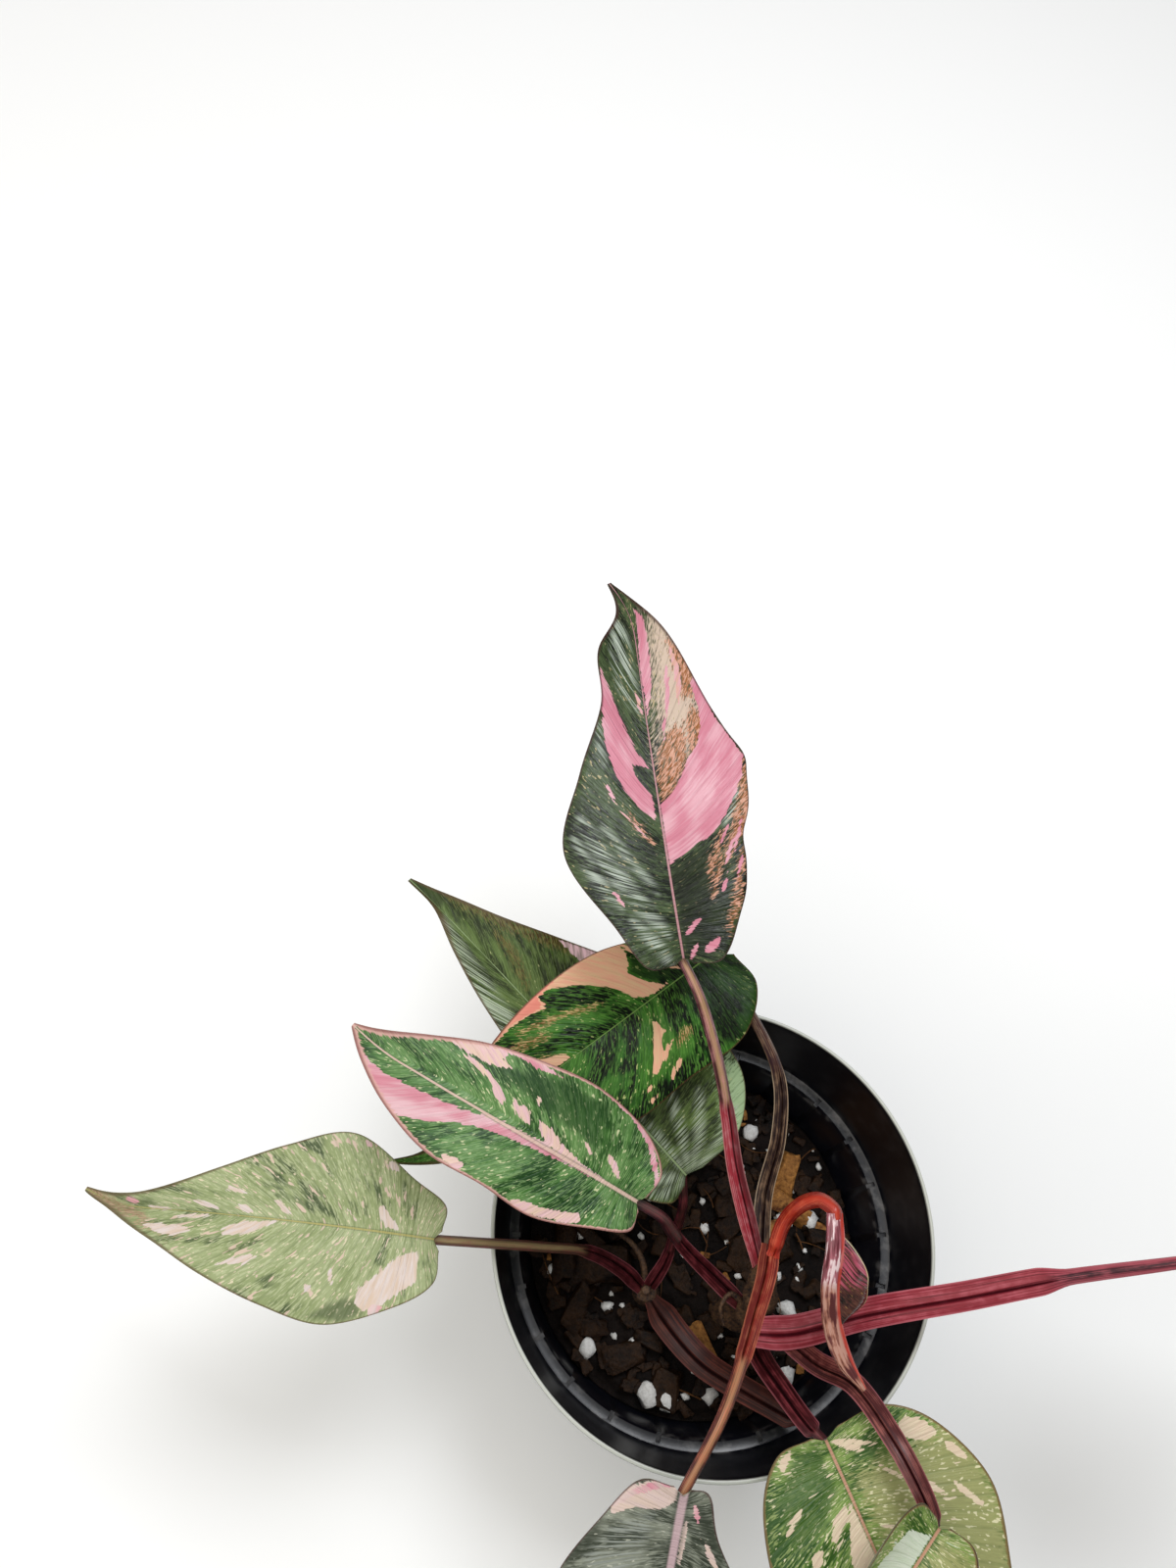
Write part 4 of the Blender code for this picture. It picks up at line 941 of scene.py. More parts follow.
@dataclass(frozen=True)
class Pot:
    """The nursery pot: a thin spun wall with a wide collar, a shoulder inside it and drain holes."""

    steps: int = 144
    holes: int = 8
    hole_radius: float = 3.6
    hole_ring: float = 25.0
    notches: int = 24
    finish: PotPlastic = field(default_factory=PotPlastic)

    def inner_radius(self, z: float) -> float:
        """The inside radius at a height under the shoulder."""
        top, low = SHOULDER_RADIUS - SHOULDER_WIDTH, BASE_RADIUS - WALL
        return low + (top - low) * (z - FLOOR) / (SHOULDER_Z - FLOOR)

    def section(self) -> list[Flat]:
        """The wall's section from the middle of the underside round to the middle of the floor."""
        foot = SHOULDER_Z - 1.2
        return [
            (0.0, 0.8), (BASE_RADIUS - 5.0, 0.8), (BASE_RADIUS - 4.2, 0.0), (BASE_RADIUS - 1.2, 0.0),
            (BASE_RADIUS - 0.3, 0.4), (BASE_RADIUS, 1.2), (self.inner_radius(foot) + WALL, foot),
            (SHOULDER_RADIUS + WALL - 0.9, foot), (SHOULDER_RADIUS + WALL - 0.2, foot + 0.3),
            (SHOULDER_RADIUS + WALL, SHOULDER_Z), (RIM_RADIUS - 0.3, POT_HEIGHT - 2.4),
            (RIM_RADIUS, POT_HEIGHT - 1.6), (RIM_RADIUS, POT_HEIGHT - 0.6), (RIM_RADIUS - 0.2, POT_HEIGHT - 0.1),
            (RIM_RADIUS - 0.5, POT_HEIGHT), (RIM_RADIUS - 0.8, POT_HEIGHT - 0.1), (RIM_RADIUS - 1.0, POT_HEIGHT - 0.6),
            (RIM_RADIUS - 1.3, POT_HEIGHT - 3.0), (SHOULDER_RADIUS, SHOULDER_Z + 0.9),
            (SHOULDER_RADIUS - 0.3, SHOULDER_Z + 0.2), (SHOULDER_RADIUS - 0.9, SHOULDER_Z),
            (SHOULDER_RADIUS - SHOULDER_WIDTH + 0.5, SHOULDER_Z), (SHOULDER_RADIUS - SHOULDER_WIDTH, SHOULDER_Z - 0.6),
            (BASE_RADIUS - WALL, FLOOR + 1.0), (BASE_RADIUS - WALL - 1.0, FLOOR), (0.0, FLOOR),
        ]

    def cutters(self) -> list[bpy.types.Object]:
        """The drills of the drain holes and the bars of the shoulder's notches."""
        made = []
        for i in range(self.holes):
            x, y, _ = headings(i * 360 / self.holes, 0) * self.hole_ring * MM
            bpy.ops.mesh.primitive_cylinder_add(vertices=32, radius=self.hole_radius * MM, depth=0.012, location=(x, y, 0))
            made.append(bpy.context.active_object)
        for i in range(self.notches):
            turn = (i + 0.5) * 360 / self.notches
            x, y, _ = headings(turn, 0) * (SHOULDER_RADIUS - 2.4) * MM
            bpy.ops.mesh.primitive_cube_add(size=1.0, location=(x, y, (SHOULDER_Z + 0.65) * MM))
            bar = bpy.context.active_object
            bar.scale = (0.0031, 0.0011, 0.0027)
            bar.rotation_euler[2] = math.radians(turn)
            made.append(bar)
        return made

    def build(self) -> None:
        """Spins the section round the axis, then cuts the holes and notches."""
        section = self.section()
        for other in bpy.context.selected_objects:
            other.select_set(False)
        bpy.ops.mesh.primitive_circle_add(vertices=len(section), radius=0.01, fill_type="NOTHING")
        pot = bpy.context.active_object
        pot.name = pot.data.name = "nursery_pot"
        set_places(pot, np.array([(r, 0.0, z) for r, z in section]))
        axis = [e.index for e in pot.data.edges if {0, len(section) - 1} == set(e.vertices)]
        only(pot)
        bpy.ops.object.mode_set(mode="EDIT")
        bpy.ops.mesh.select_mode(type="EDGE")
        bpy.ops.mesh.select_all(action="DESELECT")
        bpy.ops.object.mode_set(mode="OBJECT")
        pot.data.edges[axis[0]].select = True
        bpy.ops.object.mode_set(mode="EDIT")
        bpy.ops.mesh.delete(type="EDGE")
        bpy.ops.object.mode_set(mode="OBJECT")
        edit(
            pot,
            lambda: bpy.ops.mesh.spin(steps=self.steps, angle=2 * math.pi, center=(0, 0, 0), axis=(0, 0, 1)),
            lambda: bpy.ops.mesh.select_all(action="SELECT"),
            lambda: bpy.ops.mesh.remove_doubles(threshold=0.00002),
            lambda: bpy.ops.mesh.normals_make_consistent(inside=False),
        )
        cutters = self.cutters()
        group = bpy.data.collections.new("cutters")
        bpy.context.scene.collection.children.link(group)
        for cutter in cutters:
            bpy.context.scene.collection.objects.unlink(cutter)
            group.objects.link(cutter)
        change = pot.modifiers.new("cut", "BOOLEAN")
        change.operation, change.solver = "DIFFERENCE", "EXACT"
        change.operand_type, change.collection = "COLLECTION", group
        apply_modifiers(pot)
        for cutter in cutters:
            bpy.data.objects.remove(cutter)
        bpy.data.collections.remove(group)
        keep(pot, self.finish.material(), "pot_plastic", "pot", sharp=38)


@dataclass(frozen=True)
class Crumb:
    """A granular finish of the potting mix: its colours, how rough it is and how fine its grain is."""

    name: str
    dark: str
    light: str
    grain_mm: float
    roughness: float = 0.9
    bump: float = 0.5

    def material(self) -> bpy.types.Material:
        """Builds the granular material, whose grain is sized in millimetres."""
        made, tree = new_material(self.name)
        where = add_node(tree, "ShaderNodeTexCoord").node.outputs["Object"]
        scale = 1 / (self.grain_mm * MM)
        grain = add_node(tree, "ShaderNodeTexNoise", {"Vector": where, "Scale": scale, "Detail": 6.0, "Roughness": 0.65})
        cloud = add_node(tree, "ShaderNodeTexNoise", {"Vector": where, "Scale": scale / 6, "Detail": 2.0})
        both = add_node(tree, "ShaderNodeMath", {0: cloud, 1: 0.7, 2: grain}, operation="MULTIPLY_ADD")
        share = add_node(tree, "ShaderNodeMapRange", {0: both, 1: 0.62, 2: 1.05, 3: 0.0, 4: 1.0})
        colour = {0: share, MIX_A: linear(self.dark), MIX_B: linear(self.light)}
        colour = add_node(tree, "ShaderNodeMix", colour, data_type="RGBA")
        height = {"Height": grain, "Strength": self.bump, "Distance": self.grain_mm * MM * 0.6}
        bump = add_node(tree, "ShaderNodeBump", height)
        at = {"Base Color": colour, "Normal": bump, "Roughness": self.roughness, "Specular IOR Level": 0.2}
        finish_material(tree, add_node(tree, "ShaderNodeBsdfPrincipled", at))
        return made


PEAT = Crumb("peat and coir", "#050302", "#180e09", 1.2, 0.8, 0.9)
BARK = Crumb("pine bark", "#080403", "#34200f", 1.6, 0.5, 0.9)
PALE_BARK = Crumb("fresh pine bark", "#4a260e", "#b07a3e", 1.3, 0.6, 0.8)
PERLITE_FINISH = Crumb("expanded perlite", "#c9c7c2", "#f4f3f0", 0.7, 0.8, 0.5)
FIBRE = Crumb("coir fibre", "#2a180e", "#6a4626", 0.8, 0.85, 0.3)

BARK_CHIPS = (
    ((-24.0, -9.5), (17, 9, 5), 12), ((-33.0, -7.0), (6, 15, 5), 5), ((4.4, -26.0), (13, 5, 4), -52),
    ((0.5, -20.5), (8, 4, 3), -48), ((23.5, 19.0), (12, 5, 5), 78), ((24.0, 11.5), (13, 5, 4), -22),
    ((21.5, 6.0), (8, 3, 3), 30), ((-15.0, -30.0), (10, 6, 4), 25), ((-4.0, -36.0), (9, 7, 4), 80),
    ((-28.0, -20.0), (12, 5, 4), 70),
)
PERLITE = (
    ((-8.0, -37.5), 2.6, 100), ((-3.0, -38.3), 2.4, 70), ((1.5, -37.0), 0.9, 0), ((-24.5, -29.5), 2.1, 75),
    ((-36.0, -12.5), 1.2, 40), ((-20.5, -19.0), 1.3, 20), ((-13.0, -27.0), 1.3, 50), ((30.0, 9.0), 2.3, -40),
    ((23.5, 8.0), 1.9, -20), ((26.0, -14.0), 2.2, -30), ((26.5, -29.0), 2.0, 60), ((13.0, 29.0), 1.9, 60),
    ((7.5, -36.0), 1.7, 70),
)
STEM_FEET = ((9.3, -16.4), (-10.8, -14.0))


def soil_height(x: float, y: float) -> float:
    """The height of the potting mix at a place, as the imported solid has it."""
    return SOIL_Z + SOIL_ROUGHNESS * noise.noise(Vector((x * SOIL_GRAIN, y * SOIL_GRAIN, SOIL_SEED)))


@dataclass
class PottingMix:
    """The potting mix: an uneven bed of peat, and bark, perlite and fibres in it."""

    rings: int = 84
    sides: int = 240
    chips: int = 330
    grains: int = 120
    fibres: int = 34
    rng: random.Random = field(default_factory=lambda: random.Random(SOIL_SEED))

    def bed(self) -> None:
        """Makes the peat bed: a fine disc with clods, and plain walls down to the pot's floor."""
        radii = np.linspace(0.0, 42.6, self.rings + 1)[::-1]
        angles = np.linspace(0, 2 * math.pi, self.sides, endpoint=False)
        rows = []
        low, high = BASE_RADIUS - WALL - 0.35, 42.6
        for radius, z in ((0.0, FLOOR + 0.35), (low - 1.2, FLOOR + 0.35), (low, FLOOR + 1.3), (high, SOIL_Z - 4.0)):
            rows.append([(radius * math.cos(a), radius * math.sin(a), z) for a in angles])
        for radius in radii:
            ring = []
            for a in angles:
                x, y = radius * math.cos(a), radius * math.sin(a)
                spot = Vector((x, y, 0.0))
                clods = noise.noise(spot * 0.35) * 1.1 + abs(noise.noise(spot * 0.9)) * 0.9
                crumbs = noise.noise(spot * 2.2) * 0.35
                edge = smooth(np.array((radius - 38.0) / 4.6))
                ring.append((x, y, soil_height(x, y) - 0.4 + (clods + crumbs) * (1 - 0.5 * float(edge)) - 1.5 * float(edge)))
            rows.append(ring)
        bed = lofted("peat_bed", np.array(rows), {}, capped=False)
        keep(bed, PEAT.material(), "potting_mix", "potting_mix", sharp=80)

    def spots(self) -> tuple[list, list]:
        """Places, sizes and turns of chips and grains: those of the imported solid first, then smaller ones."""
        rng = random.Random(SOIL_SEED)
        chips, grains = list(BARK_CHIPS), list(PERLITE)
        taken = [np.array(place) for place, *_ in chips + grains]
        feet = [np.array(foot) for foot in STEM_FEET]
        while len(chips) < 34 or len(grains) < 22:
            angle, reach = math.radians(rng.uniform(0, 360)), 35.0 * math.sqrt(rng.random())
            spot = np.array((math.cos(angle), math.sin(angle))) * reach
            if min(np.linalg.norm(spot - foot) for foot in feet) < 11.0:
                continue
            if min(np.linalg.norm(spot - place) for place in taken) < 3.5:
                continue
            taken.append(spot)
            if len(chips) < 34:
                size = (rng.uniform(5, 10), rng.uniform(3, 5), rng.uniform(2.5, 4))
                chips.append((tuple(spot), size, rng.uniform(0, 180)))
            else:
                grains.append((tuple(spot), rng.uniform(0.7, 1.2), rng.uniform(0, 180)))
        while len(chips) < self.chips or len(grains) < self.grains:
            angle, reach = self.rng.uniform(0, 2 * math.pi), 41.0 * math.sqrt(self.rng.random())
            spot = (math.cos(angle) * reach, math.sin(angle) * reach)
            if min(math.dist(spot, foot) for foot in STEM_FEET) < 4.5:
                continue
            if len(chips) < self.chips:
                long = self.rng.uniform(1.6, 6.0)
                size = (long, long * self.rng.uniform(0.35, 0.7), self.rng.uniform(0.8, 2.0))
                chips.append((spot, size, self.rng.uniform(0, 180)))
            else:
                grains.append((spot, self.rng.uniform(0.3, 0.9), self.rng.uniform(0, 180)))
        return chips, grains

    def pattern(self, name: str, kind: str) -> tuple[np.ndarray, list]:
        """Models one crumb and reads it back, to be copied.

        Args:
            name: The helper object's name.
            kind: "chip" for a splintered block or "grain" for a puffed ball.

        Returns:
            Its points in units of its size, and its faces.
        """
        for other in bpy.context.selected_objects:
            other.select_set(False)
        if kind == "chip":
            bpy.ops.mesh.primitive_cube_add(size=2.0)
        else:
            bpy.ops.mesh.primitive_ico_sphere_add(subdivisions=2, radius=1.0)
        made = bpy.context.active_object
        made.name = name
        if kind == "chip":
            edit(made, lambda: bpy.ops.mesh.bevel(offset=0.22, segments=1), lambda: bpy.ops.mesh.subdivide(number_cuts=1))
        points = np.array([v.co for v in made.data.vertices])
        faces = [tuple(f.vertices) for f in made.data.polygons]
        bpy.data.objects.remove(made)
        return points, faces

    def scatter(self, name: str, spots: list, kind: str, finish: Crumb) -> None:
        """Copies one crumb to many places in one piece.

        Args:
            name: The piece's name.
            spots: Places, sizes and turns.
            kind: "chip" or "grain".
            finish: The crumbs' material.
        """
        points, faces = self.pattern(name + "_pattern", kind)
        all_points, all_faces = [], []
        for i, ((x, y), size, turn) in enumerate(spots):
            size = size if isinstance(size, tuple) else (size * 2.5, size * 2, size * 2)
            shift = Vector((i * 3.7, 0, 0))
            rough = np.array([noise.noise(Vector(p) * (1.1 if kind == "chip" else 1.9) + shift) for p in points])
            body = points * (1 + (0.34 if kind == "chip" else 0.6) * rough)[:, None]
            if kind == "chip":
                body[:, 1] *= 1 - 0.25 * np.sign(points[:, 0]) * points[:, 2]
                body[:, 2] += 0.3 * np.sin(points[:, 0] * 2 + i)
            body = body * np.array(size) / 2
            lean = Matrix.Rotation(math.radians(self.rng.uniform(-16, 16)), 3, "Y")
            turned = np.array(Matrix.Rotation(math.radians(turn), 3, "Z") @ lean)
            sunk = 0.20 if kind == "chip" else 0.15
            centre = np.array((x, y, soil_height(x, y) + 0.5 + sunk * size[2]))
            all_faces += [tuple(v + len(points) * i for v in face) for face in faces]
            all_points.append(body @ turned.T + centre)
        mesh = bpy.data.meshes.new(name)
        mesh.from_pydata(np.concatenate(all_points) * MM, [], all_faces)
        made = bpy.data.objects.new(name, mesh)
        bpy.context.scene.collection.objects.link(made)
        edit(made, lambda: bpy.ops.mesh.normals_make_consistent(inside=False))
        keep(made, finish.material(), "potting_mix", sharp=45 if kind == "chip" else 80)

    def strands(self) -> None:
        """Coir fibres and thin roots that lie in loose bows on the bed, one skin for all."""
        rings_all, faces = [], []
        sides, rows = 5, 9
        for i in range(self.fibres):
            angle, reach = self.rng.uniform(0, 2 * math.pi), 38.0 * math.sqrt(self.rng.random())
            x, y = math.cos(angle) * reach, math.sin(angle) * reach
            turn, length = self.rng.uniform(0, 2 * math.pi), self.rng.uniform(4, 13)
            bend, radius = self.rng.uniform(-0.9, 0.9), self.rng.uniform(0.08, 0.22)
            path = []
            for k in range(rows):
                share = k / (rows - 1)
                heading = turn + bend * share
                px, py = x + math.cos(heading) * length * share, y + math.sin(heading) * length * share
                reach_now = math.hypot(px, py)
                if reach_now > 41:
                    px, py = px * 41 / reach_now, py * 41 / reach_now
                path.append((px, py, soil_height(px, py) + 1.2 + 0.9 * math.sin(share * math.pi)))
            path = np.array(path)
            way = unit(np.gradient(path, axis=0))
            side = unit(np.cross(way, UP))
            top = np.cross(side, way)
            turns = np.linspace(0, 2 * math.pi, sides, endpoint=False)
            ring = path[:, None] + radius * (
                side[:, None] * np.cos(turns)[None, :, None] + top[:, None] * np.sin(turns)[None, :, None]
            )
            base = len(rings_all) * rows * sides
            rings_all.append(ring.reshape(-1, 3))
            for k in range(rows - 1):
                for s in range(sides):
                    n = (s + 1) % sides
                    faces.append((base + k * sides + s, base + k * sides + n, base + (k + 1) * sides + n, base + (k + 1) * sides + s))
            faces.append(tuple(base + s for s in range(sides))[::-1])
            faces.append(tuple(base + (rows - 1) * sides + s for s in range(sides)))
        mesh = bpy.data.meshes.new("fibres")
        mesh.from_pydata(np.concatenate(rings_all) * MM, [], faces)
        made = bpy.data.objects.new("fibres", mesh)
        bpy.context.scene.collection.objects.link(made)
        edit(made, lambda: bpy.ops.mesh.normals_make_consistent(inside=False))
        keep(made, FIBRE.material(), "potting_mix", sharp=70)

    def build(self) -> None:
        """Makes the bed, then what lies in it."""
        self.bed()
        chips, grains = self.spots()
        pale = [chip for i, chip in enumerate(chips) if i in (2, 4, 5, 6) or (i > 34 and i % 14 == 0)]
        dark = [chip for chip in chips if chip not in pale]
        self.scatter("bark_chips", dark, "chip", BARK)
        self.scatter("fresh_bark_chips", pale, "chip", PALE_BARK)
        self.scatter("perlite", grains, "grain", PERLITE_FINISH)
        self.strands()


@dataclass(frozen=True)
class StalkFinish:
    """The skin of a leaf stalk: smooth and waxy over red sap, so it is glossy, streaked lengthwise, and pale and
    papery along the margins of its sheath; the channel of a sheath's slit is painted darker as shade. shade paints
    shade on the right of a sheath's slit, or on its left below zero."""

    sheath: str = "#6e1a24"
    rod: str = "#6b4a34"
    flank: str = "#5a1c24"
    streak: str = "#a8484e"
    dark_streak_and_shade: str = "#2c1012"
    margin: str = "#b9767a"
    shade: float = 0.0
    roughness: float = 0.32
    seed: int = 1

    def material(self, name: str) -> bpy.types.Material:
        """Builds the stalk's material.

        Args:
            name: The material's name.

        Returns:
            The material, which reads the fields that the stalk's mesh keeps.
        """
        made, tree = new_material(name)
        place = add_node(tree, "ShaderNodeAttribute", attribute_name="place").node.outputs["Vector"]
        zone = add_node(tree, "ShaderNodeAttribute", attribute_name="zone").node.outputs["Vector"]
        _, across, top = add_node(tree, "ShaderNodeSeparateXYZ", {0: place}).node.outputs
        sheathed, _, _ = add_node(tree, "ShaderNodeSeparateXYZ", {0: zone}).node.outputs
        # Streaks run the stalk's whole length: 0.4 mm wide and some 14 mm long
        spot = {"Vector": place, "Scale": (0.05, 10.0, 1.0), "Location": (self.seed * 3.1, self.seed * 5.3, 0)}
        lines = add_node(tree, "ShaderNodeMapping", spot)
        lines = add_node(tree, "ShaderNodeTexNoise", {"Vector": lines, "Scale": 1.0, "Detail": 4.0})
        spot = {"Vector": place, "Scale": (0.35, 1.2, 1.0), "Location": (self.seed * 1.7, 9.0, 4.0)}
        clouds = add_node(tree, "ShaderNodeMapping", spot)
        clouds = add_node(tree, "ShaderNodeTexNoise", {"Vector": clouds, "Scale": 1.0, "Detail": 3.0})
        wide = add_node(tree, "ShaderNodeMath", {0: across}, operation="ABSOLUTE")
        flank = add_node(tree, "ShaderNodeMapRange", {0: wide, 1: 0.3, 2: 0.65, 3: 0.0, 4: 1.0})
        rod = {0: flank, MIX_A: linear(self.rod), MIX_B: linear(self.flank)}
        rod = add_node(tree, "ShaderNodeMix", rod, data_type="RGBA")
        skin = {0: sheathed, MIX_A: rod, MIX_B: linear(self.sheath)}
        skin = add_node(tree, "ShaderNodeMix", skin, data_type="RGBA")
        lit = add_node(tree, "ShaderNodeMath", {0: clouds, 1: 0.5, 2: lines}, operation="MULTIPLY_ADD")
        lit = add_node(tree, "ShaderNodeMapRange", {0: lit, 1: 0.74, 2: 0.92, 3: 0.0, 4: 0.75})
        skin = add_node(tree, "ShaderNodeMix", {0: lit, MIX_A: skin, MIX_B: linear(self.streak)}, data_type="RGBA")
        dim = add_node(tree, "ShaderNodeMapRange", {0: lines, 1: 0.46, 2: 0.34, 3: 0.0, 4: 0.7})
        skin = add_node(tree, "ShaderNodeMix", {0: dim, MIX_A: skin, MIX_B: linear(self.dark_streak_and_shade)}, data_type="RGBA")
        # Painted shade in the channel of the sheath's slit
        offset = add_node(tree, "ShaderNodeMath", {0: across, 1: Stalk.SLIT}, operation="SUBTRACT")
        offset = add_node(tree, "ShaderNodeMath", {0: offset}, operation="ABSOLUTE")
        middle = add_node(tree, "ShaderNodeMapRange", {0: offset, 1: 0.18, 2: 0.05, 3: 0.0, 4: 0.7})
        middle = add_node(tree, "ShaderNodeMath", {0: middle, 1: top}, operation="MULTIPLY")
        middle = add_node(tree, "ShaderNodeMath", {0: middle, 1: sheathed}, operation="MULTIPLY")
        skin = add_node(tree, "ShaderNodeMix", {0: middle, MIX_A: skin, MIX_B: linear(self.dark_streak_and_shade)}, data_type="RGBA")
        # Painted shade on one side of the sheath
        if self.shade:
            sign = math.copysign(1.0, self.shade)
            aside = {0: across, 1: Stalk.SLIT, 2: Stalk.SLIT + 0.3 * sign, 3: 0.0, 4: abs(self.shade)}
            aside = add_node(tree, "ShaderNodeMapRange", aside)
            aside = add_node(tree, "ShaderNodeMath", {0: aside, 1: sheathed}, operation="MULTIPLY")
            skin = {0: aside, MIX_A: skin, MIX_B: linear(self.dark_streak_and_shade)}
            skin = add_node(tree, "ShaderNodeMix", skin, data_type="RGBA")
        rim = add_node(tree, "ShaderNodeMapRange", {0: wide, 1: 0.86, 2: 0.99, 3: 0.0, 4: 0.6})
        rim = add_node(tree, "ShaderNodeMath", {0: rim, 1: sheathed}, operation="MULTIPLY")
        skin = add_node(tree, "ShaderNodeMix", {0: rim, MIX_A: skin, MIX_B: linear(self.margin)}, data_type="RGBA")
        bump = add_node(tree, "ShaderNodeBump", {"Height": lines, "Strength": 0.35, "Distance": 0.0003})
        at = {
            "Base Color": skin, "Normal": bump, "Roughness": self.roughness, "IOR": 1.45, "Specular IOR Level": 0.35,
        }
        finish_material(tree, add_node(tree, "ShaderNodeBsdfPrincipled", at))
        return made


@dataclass(frozen=True)
class Stem:
    """A short stem with a ring at each leaf scar, and the small growths on it."""

    name: str
    points: tuple[Point, ...]
    radius: float
    scars: tuple[float, ...]
    growths: tuple = ()

    def girth(self, share: np.ndarray) -> np.ndarray:
        """The stem's radius at shares along it."""
        swelling = 1 + 0.16 * sum(np.exp(-(((share - scar) / 0.04) ** 2)) for scar in self.scars)
        return self.radius * swelling * (1 - 0.35 * smooth((share - 0.8) / 0.2))

    def foothold(self, share: float, toward: Point) -> Point:
        """Where a stalk that leads towards a point starts, a little under the stem's skin."""
        here = chain(self.points, share)
        way = unit(chain(self.points, min(share + 0.02, 1)) - chain(self.points, share - 0.02))
        out = np.array(toward) - here
        out -= way * (out @ way)
        return tuple(here + unit(out) * float(self.girth(np.array(share))) * 0.35)

    def skin(self, name: str, points: tuple, radii: np.ndarray, sides: int, shares: np.ndarray) -> bpy.types.Object:
        """A round skin along a curve.

        Args:
            name: The piece's name.
            points: The curve's points.
            radii: The radius at each share.
            sides: How many faces go round.
            shares: The rows' shares along the curve.

        Returns:
            The new object.
        """
        here = chain(points, shares)
        way = unit(chain(points, np.minimum(shares + 0.02, 1)) - chain(points, np.maximum(shares - 0.02, 0)))
        side = unit(np.cross(way, np.array((0.3, 1, 0))))
        front = unit(np.cross(side, way))
        angles = np.linspace(0, 2 * math.pi, sides, endpoint=False)
        round_ = side[:, None] * np.cos(angles)[None, :, None] + front[:, None] * np.sin(angles)[None, :, None]
        spots = here[:, None] + round_ * radii[:, None, None]
        rough = np.array([noise.noise(Vector(p) * 0.7) * 0.22 + noise.noise(Vector(p) * 2.1) * 0.10
                          for p in spots.reshape(-1, 3)]).reshape(spots.shape[:2])
        spots = spots + round_ * (rough * radii[:, None] / self.radius)[..., None]
        length = np.concatenate([[0], np.cumsum(np.linalg.norm(np.diff(here, axis=0), axis=1))])
        place = np.stack(np.broadcast_arrays(length[:, None], (angles / math.pi - 1)[None], 0.0), axis=-1)
        return lofted(name, spots, {"place": place})

    def build(self, finish: bpy.types.Material) -> None:
        """Makes the stem and its growths."""
        shares = np.linspace(0, 1, 90)
        slim = 1 - 0.5 * smooth((shares - 0.7) / 0.3)
        stem = self.skin(self.name + "_skin", self.points, self.girth(shares) * slim, 32, shares)
        keep(stem, finish, "stem_skin", self.name, sharp=70)
        for i, (points, radii) in enumerate(self.growths):
            shares = np.linspace(0, 1, 40)
            girths = chain([(r, 0) for r in radii], shares)[..., 0]
            growth = self.skin(f"{self.name}_growth_{i}", points, girths, 14, shares)
            keep(growth, finish, "stem_skin", sharp=70)


@dataclass(frozen=True)
class StemSkin:
    """Stem bark and dried bracts: corky and fibrous, so it is matt, brown to beige, with rings at the scars."""

    dark: str = "#1a0a09"
    light: str = "#66492f"

    def material(self) -> bpy.types.Material:
        """Builds the stem's material."""
        made, tree = new_material("corky stem skin")
        where = add_node(tree, "ShaderNodeTexCoord").node.outputs["Object"]
        # Fibres run up the stem: 0.5 mm wide, 5 mm long
        spot = add_node(tree, "ShaderNodeMapping", {"Vector": where, "Scale": (2000.0, 2000.0, 240.0)})
        fibres = add_node(tree, "ShaderNodeTexNoise", {"Vector": spot, "Scale": 1.0, "Detail": 4.0})
        clouds = add_node(tree, "ShaderNodeTexNoise", {"Vector": where, "Scale": 260.0, "Detail": 3.0})
        share = add_node(tree, "ShaderNodeMath", {0: clouds, 1: 0.8, 2: fibres}, operation="MULTIPLY_ADD")
        share = add_node(tree, "ShaderNodeMapRange", {0: share, 1: 0.7, 2: 1.15, 3: 0.0, 4: 1.0})
        colour = {0: share, MIX_A: linear(self.dark), MIX_B: linear(self.light)}
        colour = add_node(tree, "ShaderNodeMix", colour, data_type="RGBA")
        bump = add_node(tree, "ShaderNodeBump", {"Height": fibres, "Strength": 0.6, "Distance": 0.0004})
        at = {"Base Color": colour, "Normal": bump, "Roughness": 0.7}
        finish_material(tree, add_node(tree, "ShaderNodeBsdfPrincipled", at))
        return made


